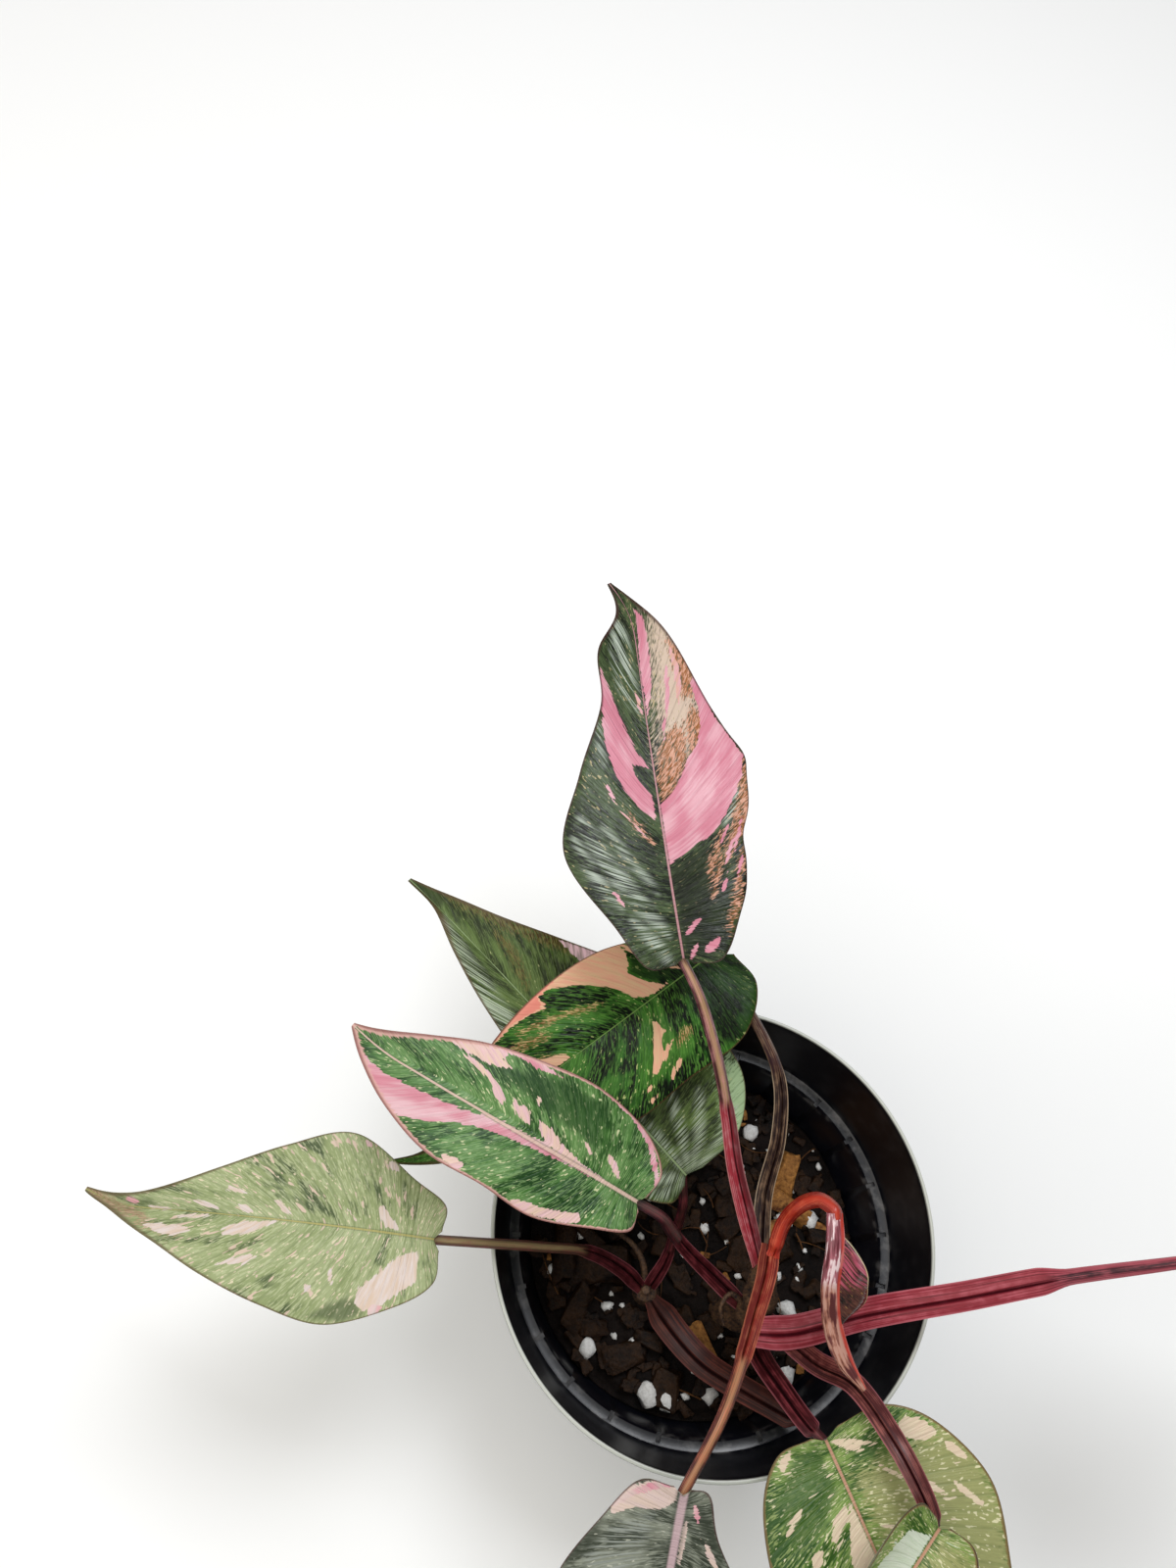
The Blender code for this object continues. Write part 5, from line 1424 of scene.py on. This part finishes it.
@dataclass(frozen=True)
class Stalk:
    """A leaf stalk: a clasping sheath with a slit, then a round rod. start is given where it hides its stem's tip."""

    name: str
    node: float
    points: tuple[Point, ...]
    sheath_width: float
    sheath_end: float
    rod: float
    leaf: str = ""
    end_rod: float = 1.1
    base_width: float = 3.4
    depth: float = 0.75
    start: Point | None = None
    finish: StalkFinish = field(default_factory=StalkFinish)

    ROWS = 110
    UNDER = 18
    OVER = 25
    SLIT = 0.15

    def section(self, share: np.ndarray) -> tuple[np.ndarray, ...]:
        """Half width, underside depth, top height at the middle, and how much of a sheath the section is."""
        sheathed = 1 - smooth((share - self.sheath_end + 0.03) / 0.06)
        spread = smooth(share / 0.12)
        sheath = self.base_width + (self.sheath_width - self.base_width) * spread
        sheath = sheath * (1 - 0.3 * share / max(self.sheath_end, 0.01))
        rod = self.rod + (self.end_rod - self.rod) * smooth((share - 0.5) / 0.5)
        half = rod + (sheath / 2 - rod) * sheathed
        under = rod + (self.depth * sheath / 2 - rod) * sheathed
        top = rod * 0.75 + (0.3 * under - rod * 0.75) * sheathed
        return half, under, top, sheathed

    def build(self, stem: Stem, leaves: dict[str, Leaf]) -> None:
        """Lofts the stalk from its stem to its leaf.

        Args:
            stem: The stem that it grows from.
            leaves: The leaves by name.
        """
        points = (self.start or stem.foothold(self.node, self.points[0]), *self.points)
        if self.leaf:
            points += (leaves[self.leaf].stalk_end(self.end_rod),)
        shares = np.linspace(0, 1, self.ROWS + 1)
        here = chain(points, shares)
        way = unit(chain(points, np.minimum(shares + 0.01, 1)) - chain(points, np.maximum(shares - 0.01, 0)))
        side = unit(np.cross(way, UP))
        up = np.cross(side, way)
        half, under, top, sheathed = (part[:, None] for part in self.section(shares))
        arc = np.linspace(0, -math.pi, self.UNDER)[None]
        low_x, low_y = half * np.cos(arc), under * np.sin(arc)
        x = np.linspace(-1, 1, self.OVER + 2)[None, 1:-1]
        slit = 0.4 * under * sheathed * np.exp(-(((x - self.SLIT) / 0.09) ** 2))
        high_x, high_y = half * x, top * (1 - x**2) - slit
        xs, ys = np.concatenate([low_x, high_x], axis=1), np.concatenate([low_y, high_y], axis=1)
        rings = here[:, None] + side[:, None] * xs[..., None] + up[:, None] * ys[..., None]
        length = np.concatenate([[0], np.cumsum(np.linalg.norm(np.diff(here, axis=0), axis=1))])[:, None]
        over = np.concatenate([np.zeros(self.UNDER), np.ones(self.OVER)])[None]
        place = np.stack(np.broadcast_arrays(length, xs / half, over), axis=-1)
        zone = np.stack(np.broadcast_arrays(sheathed, shares[:, None], over), axis=-1)
        made = lofted(self.name + "_skin", rings, {"place": place, "zone": zone})
        keep(made, self.finish.material(f"waxy stalk skin, {self.name}"), "stalk", self.name, sharp=70)


MAIN_STEM = Stem(
    "main_stem",
    ((8.5, -16.0, 38.0), (9.3, -16.4, 54.0), (12.2, -17.0, 68.0), (13.4, -15.5, 80.0), (12.4, -9.5, 90.0),
     (11.7, -6.6, 98.0)),
    3.6,
    (0.36, 0.52, 0.68, 0.84),
    ((((12.0, -16.2, 76.0), (7.2, -13.2, 79.0), (5.0, -16.4, 78.0), (6.4, -20.2, 75.6)), (1.0, 0.6, 0.5, 0.35)),),
)
SIDE_STEM = Stem(
    "side_stem",
    ((-10.5, -13.5, 40.0), (-10.8, -14.0, 50.0), (-11.2, -14.5, 57.0), (-11.6, -14.2, 61.0)),
    3.0,
    (0.55, 0.85),
    ((((-11.8, -12.6, 58.6), (-13.2, -7.6, 61.0), (-16.6, -3.6, 61.6), (-21.6, -0.9, 59.2)), (1.0, 0.8, 0.7, 0.5)),),
)

DARK_WINE = StalkFinish(sheath="#3c1014", rod="#3c1f1b", flank="#2e1218", streak="#83393f", dark_streak_and_shade="#17060a",
                        margin="#b0666e", seed=4)
DRIED = replace(DARK_WINE, sheath="#1f0d0a", streak="#94755a", margin="#e6caa8", seed=5)
ROSE = StalkFinish(sheath="#862631", rod="#3a1820", flank="#a04450", streak="#b25560", dark_streak_and_shade="#350a13",
                   margin="#c2707a", seed=6)
ORANGE = StalkFinish(sheath="#96241a", rod="#a8301f", flank="#7e1d14", streak="#c85a3c", dark_streak_and_shade="#7c1c12",
                     margin="#d8604c", roughness=0.24, seed=9)
# The pale middle of TAN's rod between its dark wine flanks is a painted highlight along the rod
TAN = StalkFinish(sheath="#9c2c38", rod="#a6845e", flank="#42191c", streak="#c8868a", dark_streak_and_shade="#2c0c0e",
                  margin="#cc8a86", shade=0.6, seed=2)
RED_TAN = replace(TAN, sheath="#7c2018", rod="#a07452", streak="#b8684a", dark_streak_and_shade="#340a0a", margin="#c07050", shade=0.5, seed=12)

MAIN_STALKS = (
    Stalk("top_stalk", 0.84, ((1.7, 9.9, 108), (-2.8, 20.8, 118), (-7.2, 30.3, 127), (-12.9, 41.4, 134)),
          4.6, 0.45, 1.35, "top_leaf", finish=TAN),
    Stalk("cream_stalk", 0.7, ((12.0, 8.0, 87), (13.2, 22.0, 95), (11.2, 34.8, 101.5), (3.6, 47.0, 105.5)),
          4.6, 0.62, 1.5, "cream_leaf", finish=DRIED),
    Stalk("green_stalk", 0.5, ((2.4, -10.0, 79), (-5.6, -5.6, 88), (-10.8, -2.6, 98), (-14.6, -0.8, 107)),
          4.6, 0.5, 1.6, "green_leaf", finish=replace(DARK_WINE, rod="#5a4440", seed=11)),
    Stalk("front_stalk", 0.95, ((10.2, -10.4, 105), (7.4, -18.4, 110), (3.8, -27.5, 118), (-0.8, -38.8, 124)),
          5.0, 0.6, 1.45, "front_leaf", base_width=4.2, start=(11.7, -3.2, 100.6), finish=RED_TAN),
    Stalk("low_stalk", 0.45, ((15.2, -25.6, 77), (18.9, -32.4, 88), (22.4, -37.8, 97)),
          6.0, 0.85, 1.5, "low_leaf", finish=replace(DARK_WINE, seed=13)),
    Stalk("folded_stalk", 0.6, ((24.0, -25.2, 93), (31.0, -29.0, 103.5), (37.6, -38.2, 111), (43.0, -46.8, 112.6)),
          5.6, 0.97, 1.5, "folded_leaf", finish=replace(DARK_WINE, sheath="#4a1c1c", streak="#96564e", seed=14)),
    Stalk("right_stalk", 0.68,
          ((20.6, -19.8, 91), (34.1, -14.4, 101), (52.0, -8.9, 113), (67.8, -3.8, 124), (84.0, 0.4, 136.5)),
          7.8, 0.66, 1.8, "right_leaf", base_width=6.4, start=(10.6, -21.2, 85.5), finish=ROSE),
    Stalk("new_stalk", 0.95,
          ((13.1, 1.2, 106.6), (15.2, 4.8, 113.5), (18.4, 6.0, 117.6), (21.2, 4.2, 119.5), (21.8, 2.2, 119.3)),
          3.6, 0.05, 1.7, end_rod=1.5, base_width=3.2, start=(11.9, -5.6, 102.2), finish=ORANGE),
)
SIDE_STALKS = (
    Stalk("rear_stalk", 0.86, ((-8.0, -7.2, 66), (-7.2, -1.2, 74), (-6.8, 4.6, 83)),
          4.0, 0.35, 1.3, "rear_leaf", finish=replace(DARK_WINE, seed=16)),
    Stalk("left_stalk", 0.84, ((-19.0, -10.6, 69), (-28.6, -8.6, 83), (-40.0, -9.6, 92), (-52.0, -10.8, 98)),
          4.6, 0.42, 1.2, "left_leaf", finish=replace(DARK_WINE, rod="#95825a", flank="#574030", seed=17)),
    Stalk("old_stalk", 0.76,
          ((-3.4, -23.2, 62.5), (3.3, -28.8, 65), (10.4, -32.4, 70), (18.0, -35.6, 76), (25.0, -38.6, 81)),
          7.6, 0.95, 1.3, finish=replace(DARK_WINE, sheath="#341510", streak="#5e2c20", margin="#7a4038", roughness=0.5, seed=19)),
)


@dataclass(frozen=True)
class YoungSkin:
    """The skin of a blade that hasn't unrolled: thin, wet-looking and glossy, pink over wine above with pale painted
    highlight streaks, tan and bruised below, with the blade's red margin along its right side."""

    pink: str = "#b9707a"
    wine: str = "#541820"
    painted_highlight: str = "#e9d2d2"
    tan: str = "#a8745c"
    bruise: str = "#4c1c18"
    edge: str = "#b93420"
    tan_from: float = 15.0

    def material(self) -> bpy.types.Material:
        """Builds the roll's material, which reads the field that its mesh keeps."""
        made, tree = new_material("glossy young leaf skin")
        place = add_node(tree, "ShaderNodeAttribute", attribute_name="place").node.outputs["Vector"]
        length, across, _ = add_node(tree, "ShaderNodeSeparateXYZ", {0: place}).node.outputs
        # Fibres 0.3 mm wide and 8 mm long, and bruises some 3 mm across
        spot = add_node(tree, "ShaderNodeMapping", {"Vector": place, "Scale": (0.12, 2.2, 1.0)})
        lines = add_node(tree, "ShaderNodeTexNoise", {"Vector": spot, "Scale": 1.0, "Detail": 4.0})
        spot = add_node(tree, "ShaderNodeMapping", {"Vector": place, "Scale": (0.22, 0.7, 1.0)})
        clouds = add_node(tree, "ShaderNodeTexNoise", {"Vector": spot, "Scale": 1.0, "Detail": 4.0})
        share = add_node(tree, "ShaderNodeMapRange", {0: lines, 1: 0.38, 2: 0.62, 3: 0.0, 4: 1.0})
        high = {0: share, MIX_A: linear(self.wine), MIX_B: linear(self.pink)}
        high = add_node(tree, "ShaderNodeMix", high, data_type="RGBA")
        # Painted highlight: pale streaks where the noise is high, in place of the gloss reflection
        share = add_node(tree, "ShaderNodeMath", {0: clouds, 1: 0.8, 2: lines}, operation="MULTIPLY_ADD")
        share = add_node(tree, "ShaderNodeMapRange", {0: share, 1: 0.92, 2: 0.98, 3: 0.0, 4: 0.9})
        high = {0: share, MIX_A: high, MIX_B: linear(self.painted_highlight)}
        high = add_node(tree, "ShaderNodeMix", high, data_type="RGBA")
        share = add_node(tree, "ShaderNodeMath", {0: lines, 1: 0.9, 2: clouds}, operation="MULTIPLY_ADD")
        share = add_node(tree, "ShaderNodeMapRange", {0: share, 1: 0.86, 2: 1.0, 3: 0.0, 4: 1.0})
        low = {0: share, MIX_A: linear(self.bruise), MIX_B: linear(self.tan)}
        low = add_node(tree, "ShaderNodeMix", low, data_type="RGBA")
        turn = {0: clouds, 1: 10.0, 2: length}
        turn = add_node(tree, "ShaderNodeMath", turn, operation="MULTIPLY_ADD")
        turn = {0: turn, 1: self.tan_from + 3, 2: self.tan_from + 8, 3: 0.0, 4: 0.85}
        turn = add_node(tree, "ShaderNodeMapRange", turn, interpolation_type="SMOOTHSTEP")
        skin = add_node(tree, "ShaderNodeMix", {0: turn, MIX_A: high, MIX_B: low}, data_type="RGBA")
        wide = add_node(tree, "ShaderNodeMath", {0: across}, operation="ABSOLUTE")
        edge = add_node(tree, "ShaderNodeMapRange", {0: wide, 1: 2.05, 2: 2.3, 3: 0.0, 4: 0.85})
        skin = add_node(tree, "ShaderNodeMix", {0: edge, MIX_A: skin, MIX_B: linear(self.edge)}, data_type="RGBA")
        bump = add_node(tree, "ShaderNodeBump", {"Height": lines, "Strength": 0.5, "Distance": 0.0004})
        at = {"Base Color": skin, "Normal": bump, "Roughness": 0.18, "IOR": 1.5}
        finish_material(tree, add_node(tree, "ShaderNodeBsdfPrincipled", at))
        return made


# On the flap the streak colour paints pink along its veins, not sheen
FLAP_FINISH = BladeFinish(
    deep="#170c08", mid="#3c1a18", light="#6a4230", fleck="#8a6a3c", sheen_and_pink_streak="#c85a72",
    edge="#cbbd8e", darkness=0.5, flecks=0.4, blotches=-1.0, vein_gap=1.6, gloss=0.5, roughness=0.16, seed=34,
)


@dataclass(frozen=True)
class RolledLeaf:
    """A young blade that is still rolled up: a soft tapering roll with a flap that has started to open."""

    name: str
    points: tuple[Point, ...]
    radii: tuple[float, ...]
    flap: tuple[float, ...]
    flap_span: tuple[float, float]
    flap_turn: float
    flap_pink: float = 11.0
    skin: YoungSkin = field(default_factory=YoungSkin)

    ROWS = 120
    SIDES = 44
    FLAP_ROWS = 70
    FLAP_COLUMNS = 24

    def frames(self, shares: np.ndarray) -> tuple[np.ndarray, ...]:
        """Places, directions towards the flap and up from it, and radii at shares of the roll's length."""
        here = chain(self.points, shares)
        way = unit(chain(self.points, np.minimum(shares + 0.02, 1)) - chain(self.points, np.maximum(shares - 0.02, 0)))
        side = unit(np.cross(way, UP))
        up = unit(np.cross(side, way))
        turn = math.radians(self.flap_turn)
        out = side * math.cos(turn) + up * math.sin(turn)
        return here, out, up, chain([(r, 0) for r in self.radii], shares)[:, 0]

    def roll(self) -> None:
        """Makes the roll, with the blade's margin as a low ridge along it."""
        shares = np.linspace(0, 1, self.ROWS + 1)
        here, out, up, radius = self.frames(shares)
        angles = np.linspace(-math.pi, math.pi, self.SIDES, endpoint=False)
        ridge = 1 + 0.16 * np.exp(-(((np.abs(angles) - 2.75) / 0.22) ** 2))
        level, high = -np.cos(angles) * 1.1 * ridge, np.sin(angles) * 0.8 * ridge
        rings = here[:, None] + radius[:, None, None] * (
            out[:, None] * level[None, :, None] + up[:, None] * high[None, :, None]
        )
        length = np.concatenate([[0], np.cumsum(np.linalg.norm(np.diff(here, axis=0), axis=1))])[:, None]
        place = np.stack(np.broadcast_arrays(length, angles[None], 0.0), axis=-1)
        made = lofted(self.name + "_roll", rings, {"place": place})
        keep(made, self.skin.material(), "new_growth", self.name, sharp=60)

    def open_flap(self) -> None:
        """Makes the flap: a thin sheet that leaves the roll's side, arches and curls down at its margin."""
        low, high = self.flap_span
        shares = np.linspace(low, high, self.FLAP_ROWS + 1)
        here, out, up, radius = self.frames(shares)
        reach = np.maximum(chain([(r, 0) for r in self.flap], (shares - low) / (high - low))[:, 0], 0.05)
        across = np.linspace(0, 1, self.FLAP_COLUMNS + 1)[None]
        level = radius[:, None] * 0.85 + reach[:, None] * across
        rise = 0.5 + 1.3 * np.sin(math.pi * across * 0.8) * reach[:, None] / 6 - 1.7 * across**2
        ripple = 0.25 * np.sin(across * 9 + shares[:, None] * 30) * across
        places = here[:, None] + out[:, None] * level[..., None] + up[:, None] * (rise + ripple)[..., None]
        flap = shaped_grid(self.name + "_flap", places)
        length = np.concatenate([[0], np.cumsum(np.linalg.norm(np.diff(here, axis=0), axis=1))])[:, None]
        along, out_by = np.broadcast_arrays(length, reach[:, None] * across)
        far = np.full_like(along, -9.0)
        # Its veins slant away from the roll, and pink shows along them but for the green lower end
        slant = (along - out_by, along + out_by)
        set_field(flap, "place", np.stack([*slant, out_by * 0], axis=-1))
        set_field(flap, "patch", np.stack([far, far, far], axis=-1))
        set_field(flap, "tone", np.stack([far, far, self.flap_pink - along], axis=-1))
        set_field(flap, "line", np.stack([-far, reach[:, None] * (1 - across), far * 0], axis=-1))
        wall = flap.modifiers.new("thickness", "SOLIDIFY")
        wall.thickness = 0.4 * MM
        wall.offset = 0
        apply_modifiers(flap)
        keep(flap, FLAP_FINISH.material("young leaf skin, opened flap"), "new_growth", self.name, sharp=60)

    def build(self) -> None:
        """Makes the roll and the flap."""
        self.roll()
        self.open_flap()


NEW_LEAF = RolledLeaf(
    "new_leaf",
    ((21.3, 3.6, 119.4), (22.2, -3.6, 117.6), (22.5, -10.5, 113.5), (24.0, -18.0, 110.0), (27.2, -24.5, 108.0),
     (32.2, -29.8, 106.8)),
    (1.55, 1.85, 1.9, 1.9, 1.7, 0.5),
    (0.0, 3.4, 6.2, 6.8, 6.2, 0.6),
    (0.12, 0.62),
    185.0,
)


@dataclass(frozen=True)
class Studio:
    """The photograph's camera, a plain pale floor and soft light."""

    camera_place: Point = (-44.0, -29.0, 386.0)
    tilt: float = -25.2
    turn: float = 8.0
    focal_px: float = 1209.0
    picture_height_px: float = 1600.0
    sensor_mm: float = 36.0

    def camera(self) -> None:
        """Sets the camera where the photograph was taken from."""
        flip = Matrix(((1, 0, 0), (0, -1, 0), (0, 0, -1)))
        turned = Matrix.Rotation(math.radians(self.turn), 3, "Z") @ Matrix.Rotation(math.radians(self.tilt), 3, "X")
        rows = turned @ flip
        lens = self.focal_px / self.picture_height_px * self.sensor_mm
        data = bpy.data.cameras.new("camera")
        data.lens, data.sensor_width, data.sensor_fit = lens, self.sensor_mm, "AUTO"
        data.clip_start = 0.01
        camera = bpy.data.objects.new("camera", data)
        basis = Matrix((rows[0], -rows[1], -rows[2])).transposed()
        camera.matrix_world = Matrix.Translation(Vector(self.camera_place) * MM) @ basis.to_4x4()
        bpy.context.scene.collection.objects.link(camera)
        bpy.context.scene.camera = camera

    def lamp(self, name: str, place: Point, size: float, watts: float, colour: str) -> None:
        """Adds a soft square lamp that faces the plant."""
        data = bpy.data.lights.new(name, "AREA")
        data.size, data.energy, data.color = size, watts, linear(colour)[:3]
        lamp = bpy.data.objects.new(name, data)
        lamp.location = Vector(place)
        lamp.rotation_euler = (Vector((0, 0, 0.1)) - Vector(place)).to_track_quat("-Z", "Y").to_euler()
        bpy.context.scene.collection.objects.link(lamp)

    def build(self) -> None:
        """Makes the floor, the world, the lamps and the camera."""
        self.camera()
        bpy.ops.mesh.primitive_plane_add(size=6.0, location=(0, 0, 0))
        floor = bpy.context.active_object
        floor.name = "floor"
        made, tree = new_material("plain pale floor")
        at = {"Base Color": linear("#fbfbfa"), "Roughness": 0.9}
        finish_material(tree, add_node(tree, "ShaderNodeBsdfPrincipled", at))
        floor.data.materials.append(made)
        world = bpy.data.worlds.new("pale world")
        world.use_nodes = True
        world.node_tree.nodes["Background"].inputs["Color"].default_value = linear("#f4f6f8")
        world.node_tree.nodes["Background"].inputs["Strength"].default_value = 0.42
        bpy.context.scene.world = world
        # The window's light mirrors in the upper leaves, as the pale sheen on them in the photograph does
        self.lamp("window", (0.10, 0.36, 1.0), 0.32, 4.6, "#f7faff")
        self.lamp("key", (-0.6, -0.15, 1.2), 1.5, 11.0, "#fffaf2")
        bpy.context.scene.view_settings.view_transform = "Standard"


def main() -> None:
    """Builds every piece in order and reports each one."""
    logging.basicConfig(level=logging.INFO, format="%(message)s")
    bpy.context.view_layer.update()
    Studio().build()
    Pot().build()
    PottingMix().build()
    stem_skin = StemSkin().material()
    leaves = {leaf.name: leaf for leaf in LEAVES}
    for stem, stalks in ((MAIN_STEM, MAIN_STALKS), (SIDE_STEM, SIDE_STALKS)):
        stem.build(stem_skin)
        for stalk in stalks:
            stalk.build(stem, leaves)
    for leaf in LEAVES:
        leaf.build()
    NEW_LEAF.build()


if __name__ == "__main__":
    main()
